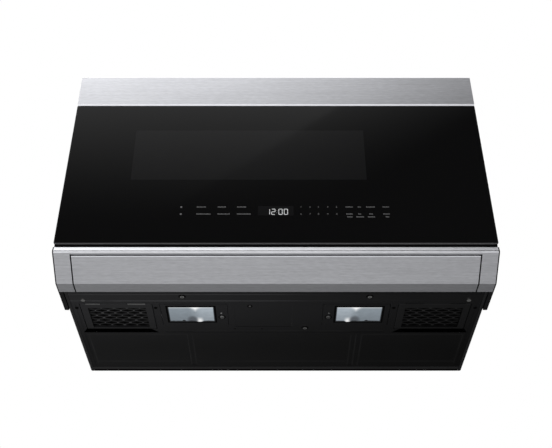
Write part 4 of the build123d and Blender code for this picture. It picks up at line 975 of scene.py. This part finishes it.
# ---------------------------------------------------------------- studio
@dataclass
class Studio:
    """Camera, lamps, floor and the world's light."""

    lens: float = 59.735
    sensor: float = 36.0
    camera_at: Point = (0.0, -1.6778, -0.8307)
    pitch: float = 36.90
    shift_y: float = -24 / 552
    world_light: float = 0.20
    brightest: float = 3.0
    floor_z: float = -1.95
    floor_half: float = 9.0
    floor_tones: Span = (0.14, 0.16)
    floor_front: Span = (-2.4, -1.0)
    floor_rear: Span = (0.6, 4.0)
    floor_sides: Span = (-0.2, 2.6)
    floor_glow: Point = (1.5, 0.47, 0.0)
    floor_right_loss: float = 0.62
    card_y: float = 4.6
    card_height: float = 4.5
    card_sides: Span = (-1.4, 1.4)
    card_glow: Span = (0.20, 0.0)
    screen_y: float = -2.6
    screen_x: Span = (-3.2, 3.2)
    screen_z: Span = (0.3, 4.8)
    screen_fade: Span = (1.62, 3.0)
    screen_power: float = 1.7
    # The slanting edge runs through this X and Z; its slant is a sine and a cosine.
    edge_at: Size = (0.321, 2.404)
    edge_slant: Size = (0.6225, 0.783)
    edge_reach: float = 0.48
    edge_light: float = 0.62
    high_z: Span = (2.36, 2.75)
    high_light: float = 0.95
    high_tilt: float = 0.45
    high_least: float = 0.05

    def build(self) -> None:
        """Sets up everything that isn't part of the oven."""
        scene = bpy.context.scene
        scene.view_settings.view_transform = "Standard"
        self.camera(scene)
        self.world(scene)
        self.floor()
        self.rear_card()
        self.light_screen()
        self.lamps()

    def camera(self, scene: bpy.types.Scene) -> None:
        """Adds the camera at the photograph's viewing point."""
        data = bpy.data.cameras.new("camera")
        data.lens = self.lens
        data.sensor_width = self.sensor
        data.shift_y = self.shift_y
        made = bpy.data.objects.new("camera", data)
        made.location = self.camera_at
        made.rotation_euler = (math.radians(90 + self.pitch), 0.0, 0.0)
        scene.collection.objects.link(made)
        scene.camera = made

    def world(self, scene: bpy.types.Scene) -> None:
        """Makes the background white to the camera and an even grey to the oven."""
        shader = Shader("studio", world=True)
        path = shader.node("ShaderNodeLightPath").outputs
        seen = Value(shader, path["Is Camera Ray"])
        for ray in ("Is Transmission Ray", "Is Glossy Ray"):
            seen = shader.maths("MAXIMUM", seen, Value(shader, path[ray]))
        strength = self.world_light + seen * (1.0 - self.world_light)
        light = shader.node("ShaderNodeBackground", None, {"Color": WHITE, "Strength": strength})
        shader.node("ShaderNodeOutputWorld", None, {"Surface": light.outputs[0]})
        scene.world = shader.owner

    def card(self, name: str, place: Matrix, shader: Shader) -> bpy.types.Object:
        """Adds a flat staged card.

        Args:
            name: Its name.
            place: Where a square of 1 m is put and how it is stretched.
            shader: Its material's nodes.

        Returns:
            The card.
        """
        shape = bmesh.new()
        bmesh.ops.create_grid(shape, x_segments=1, y_segments=1, size=0.5, matrix=place)
        made = link_shape(name, shape, shader.owner)
        return made

    def floor(self) -> None:
        """Lays a floor far below the oven, lighter to the front and to the left."""
        shader = Shader("floor_paint")
        x, y, _ = shader.xyz()
        cloud = shader.noise(1.5)
        front, middle, rear = self.floor_glow
        ahead = 1.0 - y.ramp(*self.floor_front)
        behind = y.ramp(*self.floor_rear)
        level = middle + ahead * (front - middle) + behind * (rear - middle)
        level = level * (1.05 - x.ramp(*self.floor_sides) * self.floor_right_loss)
        level = level * (0.97 + cloud * 0.06)
        shader.surface(
            Base_Color=shader.mix(cloud, *map(grey, self.floor_tones)), Roughness=0.9,
            Emission_Color=shader.mix(level / self.brightest, BLACK, WHITE),
            Emission_Strength=self.brightest,
        )
        place = Matrix.Translation((0.0, 0.0, self.floor_z))
        self.card("floor", place @ Matrix.Scale(2 * self.floor_half, 4), shader)

    def rear_card(self) -> None:
        """Stands a dark card far behind, lighter to the left, that the camera doesn't see."""
        shader = Shader("rear_card")
        x, _, _ = shader.xyz()
        shader.surface(
            Base_Color=grey(0.02), Roughness=1.0, Specular_IOR_Level=0.0,
            Emission_Color=shader.mix(x.ramp(*self.card_sides), *map(grey, self.card_glow)),
            Emission_Strength=1.0,
        )
        turn = Matrix.Rotation(math.radians(90), 4, "X")
        grow = Matrix.Diagonal((2 * self.floor_half, self.card_height, 1.0, 1.0))
        middle = (0.0, self.card_y, self.floor_z + self.card_height / 2)
        place = Matrix.Translation(middle) @ turn @ grow
        self.card("rear_card", place, shader).visible_camera = False

    def light_screen(self) -> None:
        """Stands a soft lit screen in front of the oven, bright above a slanting edge."""
        low_x, high_x = self.screen_x
        low_z, high_z = self.screen_z
        middle = Vector(((low_x + high_x) / 2, self.screen_y, (low_z + high_z) / 2))
        turn = Matrix.Rotation(math.radians(-90), 4, "X")
        grow = Matrix.Diagonal((high_x - low_x, high_z - low_z, 1.0, 1.0))
        shader = Shader("light_screen")
        x, _, z = shader.xyz()
        sine, cosine = self.edge_slant
        edge = (z - self.edge_at[1]) * cosine - (x - self.edge_at[0]) * sine
        beyond = (edge / self.edge_reach + 1.0) * self.edge_light
        across = shader.maths("MAXIMUM", edge > 0.0, shader.maths("MAXIMUM", beyond, 0.0))
        level = z.ramp(*self.screen_fade) * shader.maths("MINIMUM", across, 1.0)
        tilted = shader.maths("MAXIMUM", self.high_light - x * self.high_tilt, self.high_least)
        high = z.ramp(*self.high_z)
        level = level * (1.0 - high) + high * tilted * z.ramp(*self.screen_fade)
        shader.surface(
            Base_Color=BLACK, Roughness=1.0, Specular_IOR_Level=0.0,
            Emission_Color=shader.mix(level / self.brightest, BLACK, WHITE),
            Emission_Strength=self.brightest * self.screen_power,
        )
        place = Matrix.Translation(middle) @ turn @ grow
        self.card("light_screen", place, shader).visible_camera = False

    def lamps(self) -> None:
        """Hangs weak lamps on both sides, above and behind."""
        middle = Vector((0.0, -0.2, 0.2))
        for name, at, size, power in (
            ("left", (-2.4, -0.6, 1.6), (1.4, 1.4), 10.0),
            ("right", (2.4, -0.6, 1.2), (1.4, 1.4), 6.0),
            ("above", (0.0, -0.2, 2.6), (2.0, 1.6), 18.0),
            ("behind", (0.6, 2.4, 1.2), (1.8, 1.4), 15.0),
        ):
            data = bpy.data.lights.new(name, "AREA")
            data.shape = "RECTANGLE"
            data.size, data.size_y = size
            data.energy = power
            made = bpy.data.objects.new(name, data)
            made.location = at
            made.rotation_euler = (middle - Vector(at)).to_track_quat("-Z", "Y").to_euler()
            bpy.context.scene.collection.objects.link(made)


# ---------------------------------------------------------------- sub-assemblies
@dataclass
class Cabinet:
    """Case, sides, back, wall plate and top strip."""

    # A dark bar of painted shade in the gap along the rear edge.
    gap_shade: tuple[Span, Span, Span] = (mm(-367.2, 367.2), mm(-7.8, -1.4), mm(0.8, 2.8))

    def build(self) -> None:
        """Dresses the cabinet's nodes and puts a dark bar of painted shade in its rear gap."""
        dress(STEEL, "top_strip")
        dress(BLACK_COAT, "case_wrapper", "vent_rails", "back_panel", "wall_plate")
        dress(SIDE_TRIM, "side_trims")
        dress(ZINC, "exhaust_adapter", "damper_flap", "hinge_brackets")
        dress(ENAMEL, "front_plate")
        dress(CHARCOAL, "charcoal_filter")
        dress(RUBBER, "cord_gland")
        plates("rear_gap_shade", [self.gap_shade], SHADE_PAINT, Body.CABINET)


@dataclass
class LowerBezel:
    """Slanted steel bezel with the slide-out vent."""

    def build(self) -> None:
        """Dresses the bezel's nodes."""
        dress(STEEL, "front_bezel", "vent_panel")
        dress(TRAY_PLASTIC, "vent_tray")


@dataclass
class Underside:
    """Base plate with filters, lamps and screws."""

    mesh_rows: int = 8
    mesh_columns: float = 4.5
    mesh_lift: float = 1.0 * MM
    strand: Size = mm(5.2, 0.5)
    strand_wave: float = 1.5 * MM
    knot_size: Size = mm(2.2, 1.2)
    knot_z: Span = mm(-0.55, -0.2)
    shade_pad_z: Span = mm(-0.6, -0.1)
    tab_spans: tuple[Span, Span] = (mm(-52.5, -21.0), mm(28.0, 54.0))
    tab_y: Span = mm(0.3, 4.6)
    tab_z: Span = mm(-0.15, 0.45)
    filter_x: Size = mm(-285.5, 283.5)
    # The painted shade round each lens: its width at the ends, front and rear, then its Z span.
    lens_shade_rim: Point = mm(3.0, 4.4, 2.0)
    lens_shade_z: Span = mm(-0.15, 0.1)
    # Discs are given as radius, height and, where it differs, lower radius.
    captive_from_lens: Size = mm(55, 8.7)
    captive_shade: Size = mm(6.6, 0.2)
    captive_head: Point = mm(4.4, 1.2, 3.4)
    pin_from_captive: Size = mm(-0.8, -13.6)
    pin: Point = mm(2.0, 1.0, 1.3)
    front_screws: tuple[Size, ...] = (mm(-165, -288.8), mm(165, -288.8))
    field_screws: tuple[Size, ...] = (mm(-341, -277), mm(341, -277), mm(53.7, -176))
    side_screw_z: tuple[float, ...] = mm(80, 220, 360)
    side_screw_y: float = -16 * MM
    side_x: float = 372 * MM
    field_step: float = 0.4 * MM
    head_reach: float = 1.2 * MM
    # Radius and height of the painted shade ring round each base screw.
    painted_shade: Size = mm(6.4, 0.25)
    cross: tuple[Size, Size] = (mm(1.9, 0.4), mm(0.4, 1.9))
    cross_depth: Span = mm(0.04, 0.2)
    pierced: tuple[float, ...] = mm(-357, -215.8, 211, 357)
    pierced_y: float = -249 * MM
    pierced_shade: Size = mm(3.2, 0.15)
    rivet_at: Point = mm(-46.7, -254.8, 0.4)
    rivet_shade: Size = mm(4.6, 0.3)
    rivet_head: Point = mm(2.4, 0.8, 1.6)

    def build(self) -> None:
        """Dresses the underside's nodes and adds its meshes, tabs and screw details."""
        dress(UNDER_COAT, "base_plate", "lamp_cover_left", "lamp_cover_right")
        dress(FILTER_METAL, "filter_frame_left", "filter_frame_right", "filter_mesh_left",
              "filter_mesh_right")
        dress(SCREW, "cabinet_screws")
        dress(ZINC, "lamp_housings")
        dress(BOARD, "lamp_boards")
        for side, inward in (("left", 1.0), ("right", -1.0)):
            low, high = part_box(f"lamp_lens_{side}")
            centre = (low + high) / 2
            lens = LampLens(f"lamp_lens_{side}", "lamp_lens", centre.x, centre.y, inward)
            if side == "right":
                # The right lamp stands a little nearer to the middle in its housing.
                lens = replace(lens, lamp_at=0.15, holder_at=(0.17, 0.8), swell_at=0.45)
            dress(lens, f"lamp_lens_{side}")
            self.expanded_mesh(side)
            self.filter_tabs(side, inward)
            self.captive_screw(side, centre, inward)
            self.lens_shade(side, low, high)
        self.screw_details()

    def expanded_mesh(self, side: str) -> None:
        """Makes a filter's expanded metal mesh in place of the plain one.

        Args:
            side: "left" or "right".
        """
        low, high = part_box(f"filter_mesh_{side}")
        step_x = (high.x - low.x) / self.mesh_columns
        step_y = (high.y - low.y) / self.mesh_rows
        z = low.z + self.mesh_lift
        half_x, half_y = self.knot_size
        shape, knots = bmesh.new(), bmesh.new()
        for row in range(self.mesh_rows + 1):
            y = low.y + row * step_y
            for half in range(round(2 * self.mesh_columns)):
                rise = self.strand_wave if (row + half) % 2 == 0 else -self.strand_wave
                x = low.x + half * step_x / 2
                add_strut(shape, Vector((x, y + rise, z)), Vector((x + step_x / 2, y - rise, z)),
                          *self.strand)
                if half and rise > 0 and row < self.mesh_rows:
                    # The bonds between strands differ in width.
                    reach = half_x * (0.75 + 0.35 * math.sin(2.3 * row + 2.05 * half))
                    middle = y + step_y / 2
                    add_bar(knots, (x - reach, x + reach), (middle - half_y, middle + half_y),
                            tuple(z + drop for drop in self.knot_z))
        body = Body(f"filter_{side}")
        made = piece(f"expanded_mesh_{side}", shape, MESH_METAL, body)
        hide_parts(f"filter_mesh_{side}")
        # The knots are lighter as a painted highlight.
        piece(f"mesh_knots_{side}", knots, KNOT_HIGHLIGHT, body)
        # A dark pad of painted shade behind the mesh, where the filter's inside lies in shade.
        shade_pad_z = tuple(high.z + drop for drop in self.shade_pad_z)
        plates(f"filter_shade_pad_{side}", [((low.x, high.x), (low.y, high.y), shade_pad_z)], SHADE_PAINT,
               body)

    def filter_tabs(self, side: str, inward: float) -> None:
        """Adds a filter's two front tab faces: bare on the left, painted shade on the right.

        Args:
            side: "left" or "right".
            inward: 1 where the middle of the oven lies to the right, else -1.
        """
        x = self.filter_x[0] if inward > 0 else self.filter_x[1]
        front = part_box(f"filter_frame_{side}")[0].y
        y = tuple(front + back for back in self.tab_y)
        # Tab spans are counted outwards on each side.
        spans = [((x - inward * low, x - inward * high), y, self.tab_z)
                 for low, high in self.tab_spans]
        # The right tabs take the dark filter paint as painted shade.
        plates(f"filter_tab_faces_{side}", spans, TAB_METAL if side == "left" else FILTER_METAL,
               Body(f"filter_{side}"))

    def lens_shade(self, side: str, low: Vector, high: Vector) -> None:
        """Frames a lamp's lens with a dark frame of painted shade.

        Args:
            side: "left" or "right".
            low: Lowest corner of the lens.
            high: Highest corner of the lens.
        """
        end, front, rear = self.lens_shade_rim
        x, y = (low.x - end, high.x + end), (low.y, high.y)
        spans = [(x, (low.y - front, low.y)), (x, (high.y, high.y + rear)),
                 ((low.x - end, low.x), y), ((high.x, high.x + end), y)]
        plates(f"lens_shade_{side}", [(*span, self.lens_shade_z) for span in spans], SHADE_PAINT,
               Body(f"lamp_cover_{side}"))

    def captive_screw(self, side: str, centre: Vector, inward: float) -> None:
        """Puts a knob head and a small pin on a lamp cover's captive screw.

        Args:
            side: "left" or "right".
            centre: Middle of the lens.
            inward: 1 where the middle of the oven lies to the right, else -1.
        """
        x = centre.x + inward * self.captive_from_lens[0]
        y = centre.y + self.captive_from_lens[1]
        body = Body(f"lamp_cover_{side}")
        # A dark disc of painted shade round the captive screw's head.
        seat = bmesh.new()
        add_disc(seat, (x, y, 0.0), *self.captive_shade)
        piece(f"captive_shade_{side}", seat, SHADE_PAINT, body)
        head = bmesh.new()
        add_disc(head, (x, y, -self.captive_shade[1]), *self.captive_head)
        pin_x, pin_y = self.pin_from_captive
        add_disc(head, (x + inward * pin_x, y + pin_y, 0.0), *self.pin)
        piece(f"captive_head_{side}", head, CAPTIVE, body)

    def screw_details(self) -> None:
        """Adds dark rings, crosses and discs of painted shade at screws and holes, and a rivet.
        """
        shade_discs, recess_shades = bmesh.new(), bmesh.new()
        out, into = self.cross_depth
        for group, level in ((self.front_screws, 0.0), (self.field_screws, self.field_step)):
            for x, y in group:
                # A dark ring of painted shade round each screw's dimple.
                add_disc(shade_discs, (x, y, level), *self.painted_shade)
                face = level - self.head_reach
                # Dark crosses of painted shade stand for the recesses in all heads.
                for half_x, half_y in self.cross:
                    add_bar(recess_shades, (x - half_x, x + half_x), (y - half_y, y + half_y),
                            (face - out, face + into))
        y, face = self.side_screw_y, self.side_x + self.head_reach
        for side in (-1, 1):
            for z in self.side_screw_z:
                # Dark crosses of painted shade for the side screws' recesses.
                for half_y, half_z in self.cross:
                    add_bar(recess_shades, (side * (face - into), side * (face + out)),
                            (y - half_y, y + half_y), (z - half_z, z + half_z))
        # Dark discs of painted shade stand for the pierced holes.
        for x in self.pierced:
            add_disc(shade_discs, (x, self.pierced_y, 0.0), *self.pierced_shade)
        # A dark ring of painted shade round the rivet.
        add_disc(shade_discs, self.rivet_at, *self.rivet_shade)
        rivet = bmesh.new()
        x, y, z = self.rivet_at
        add_disc(rivet, (x, y, z - self.rivet_shade[1]), *self.rivet_head)
        piece("field_rivet", rivet, RIVET, Body.CABINET)
        piece("screw_shade_discs", shade_discs, SHADE_PAINT, Body.CABINET)
        piece("screw_recess_shades", recess_shades, SHADE_PAINT, Body.CABINET)


class Segment(Enum):
    """Strokes of a seven-stroke digit, as (column, row, upright)."""

    TOP = (0.5, 2.0, False)
    MIDDLE = (0.5, 1.0, False)
    BOTTOM = (0.5, 0.0, False)
    UPPER_LEFT = (0.0, 1.5, True)
    UPPER_RIGHT = (1.0, 1.5, True)
    LOWER_LEFT = (0.0, 0.5, True)
    LOWER_RIGHT = (1.0, 0.5, True)


@dataclass
class Door:
    """Full-width glass door with the clock and keys printed behind its glass."""

    print_depth: float = 0.05 * MM
    clock_digits: str = "1200"
    clock_x: tuple[float, ...] = mm(-17.0, -7.6, 4.9, 14.3)
    colon_x: float = 1.6 * MM
    colon_rows: Span = (0.3, 0.7)
    # Strokes end short of the corners, and the colon's dots are smaller, by this share.
    stroke_share: float = 0.6
    digit_size: Size = mm(6.0, 11.6)
    digit_bottom: float = 107.7 * MM
    stroke: float = 1.15 * MM
    key_rows: Point = mm(123.8, 108.6, 102.4)
    key_x: tuple[float, ...] = mm(43.7, 59.5, 74.1, 90.6, 106)
    key_height: float = 4.86 * MM
    legend_height: float = 1.9 * MM
    dash: float = 1.5 * MM
    gap: float = 0.6 * MM
    tall_dash: float = 1.35
    mark_x: Span = mm(-167.6, -164.6)
    mark_half: float = 1.5 * MM

    def build(self) -> None:
        """Dresses the door's nodes and adds its print."""
        dress(DOOR_GLASS, "door_glass")
        dress(DOOR_MOULDING, "door_frame")
        dress(DOOR_PLASTIC, "door_inner_cover")
        dress(SCREEN_COAT, "door_screen")
        dress(PANE, "inner_window")
        dress(BOARD, "touch_board")
        dress(DISPLAY, "display_module")
        dress(LATCH_PLASTIC, "latch_key")
        dress(SPRING, "latch_spring")
        self.clock()
        self.numerals()
        self.legends()

    def face(self) -> Span:
        """Gives the Y span of print on the glass's front."""
        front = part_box("door_glass")[0].y
        return front - self.print_depth, front + self.print_depth

    def clock(self) -> None:
        """Makes the clock's lit digits."""
        strokes = {
            "0": [Segment.TOP, Segment.BOTTOM, Segment.UPPER_LEFT, Segment.UPPER_RIGHT,
                  Segment.LOWER_LEFT, Segment.LOWER_RIGHT],
            "1": [Segment.UPPER_RIGHT, Segment.LOWER_RIGHT],
            "2": [Segment.TOP, Segment.UPPER_RIGHT, Segment.MIDDLE, Segment.LOWER_LEFT,
                  Segment.BOTTOM],
        }
        shape = bmesh.new()
        width, height = self.digit_size
        half = self.stroke / 2
        for digit, left in zip(self.clock_digits, self.clock_x):
            for segment in strokes[digit]:
                column, row, upright = segment.value
                x = left + column * width
                z = self.digit_bottom + row * height / 2
                if upright:
                    long_x, long_z = half, height / 4 - half * self.stroke_share
                else:
                    long_x, long_z = width / 2 - half * self.stroke_share, half
                add_bar(shape, (x - long_x, x + long_x), self.face(),
                        (z - long_z, z + long_z))
        half = half * self.stroke_share
        for share in self.colon_rows:
            z = self.digit_bottom + share * height
            add_bar(shape, (self.colon_x - half, self.colon_x + half), self.face(),
                    (z - half, z + half))
        piece("clock_digits", shape, CLOCK_LIGHT, Body.DOOR)

    def numerals(self) -> None:
        """Makes the ten number keys."""
        shape = bmesh.new()
        for row, digits in zip(self.key_rows, ("12345", "67890")):
            for digit, x in zip(digits, self.key_x):
                self.numeral(shape, digit, x, row)
        piece("key_numerals", shape, KEY_PRINT, Body.DOOR)

    def numeral(self, shape: bmesh.types.BMesh, digit: str, x: float, z: float) -> None:
        """Adds one plain numeral to a shape.

        Args:
            shape: The shape that it joins.
            digit: The numeral.
            x: Its middle along X.
            z: Its middle along Z.
        """
        curve = bpy.data.curves.new("numeral", "FONT")
        curve.body = digit
        curve.align_x, curve.align_y = "CENTER", "CENTER"
        curve.size = self.key_height
        curve.extrude = self.print_depth
        curve.resolution_u = 3
        holder = bpy.data.objects.new("numeral", curve)
        mesh = bpy.data.meshes.new_from_object(holder)
        turn = Matrix.Rotation(math.radians(90), 4, "X")
        mesh.transform(Matrix.Translation((x, sum(self.face()) / 2, z)) @ turn)
        shape.from_mesh(mesh)
        bpy.data.meshes.remove(mesh)
        bpy.data.objects.remove(holder)
        bpy.data.curves.remove(curve)

    def legends(self) -> None:
        """Makes the touch keys' plain dashes and marks."""
        upper, lower, small = self.key_rows
        # Each key's words run from and to these places, in millimetres.
        rows = [
            (upper, [(-138.8, -123.2), (-102, -88), (-68.2, -52.4), (122, 134.5),
                     (143.5, 148.5), (158, 173), (187, 198)]),
            (lower, [(-138.8, -114.3), (-101.8, -80.9), (-68.2, -44.2), (122.7, 133.5),
                     (143.6, 148.4), (162.8, 169), (187.3, 198.5)]),
            (small, [(124, 133), (140, 153), (160, 172), (191, 197)]),
        ]
        shape = bmesh.new()
        for z, spans in rows:
            for span in spans:
                self.words(shape, mm(*span), z)
        for z in (upper, lower):
            add_bar(shape, self.mark_x, self.face(), (z - self.mark_half, z + self.mark_half))
        piece("key_legends", shape, KEY_PRINT, Body.DOOR)

    def words(self, shape: bmesh.types.BMesh, span: Span, z: float) -> None:
        """Adds a row of short dashes in place of a key's words.

        Args:
            shape: The shape that they join.
            span: Their left and right ends.
            z: Middle height.
        """
        low, high = span
        half = self.legend_height / 2
        count = max(2, round((high - low + self.gap) / (self.dash + self.gap)))
        step = (high - low + self.gap) / count
        for number in range(count):
            start = low + number * step
            rise = half * (1.0 if number % 3 else self.tall_dash)
            add_bar(shape, (start, start + step - self.gap), self.face(), (z - half, z + rise))


@dataclass
class OvenInside:
    """Cavity with its lamp, turntable and waveguide cover."""

    def build(self) -> None:
        """Dresses the cavity's nodes."""
        dress(ENAMEL, "oven_cavity")
        dress(PANE, "glass_tray")
        dress(SWITCH_PLASTIC, "roller_ring")
        dress(WHEEL_PLASTIC, "roller_wheel_1", "roller_wheel_2", "roller_wheel_3")
        dress(LATCH_PLASTIC, "drive_coupler", "waveguide_cover")
        dress(ZINC, "cavity_lamp")


@dataclass
class Machinery:
    """Electrics, fan and exhaust blower inside the case."""

    def build(self) -> None:
        """Dresses the machinery's nodes."""
        dress(ZINC, "component_shelf", "blower_housing", "waveguide")
        dress(MOTOR, "turntable_motor", "blower_motor", "cooling_fan_motor", "magnetron")
        dress(CAN, "high_voltage_capacitor")
        dress(CORE, "high_voltage_transformer")
        dress(BOARD, "power_board")
        dress(DIODE_PLASTIC, "high_voltage_diode")
        dress(SWITCH_PLASTIC, "interlock_switches", "cooling_fan_blade", "blower_wheels")
        dress(LATCH_PLASTIC, "latch_board")


def main() -> None:
    """Builds the studio and the oven's sub-assemblies in order."""
    logging.basicConfig(level=logging.INFO)
    for part in (Studio(), Cabinet(), LowerBezel(), Underside(), Door(), OvenInside(),
                 Machinery()):
        part.build()
        log.info("built %s", type(part).__name__)


if __name__ == "__main__":
    main()
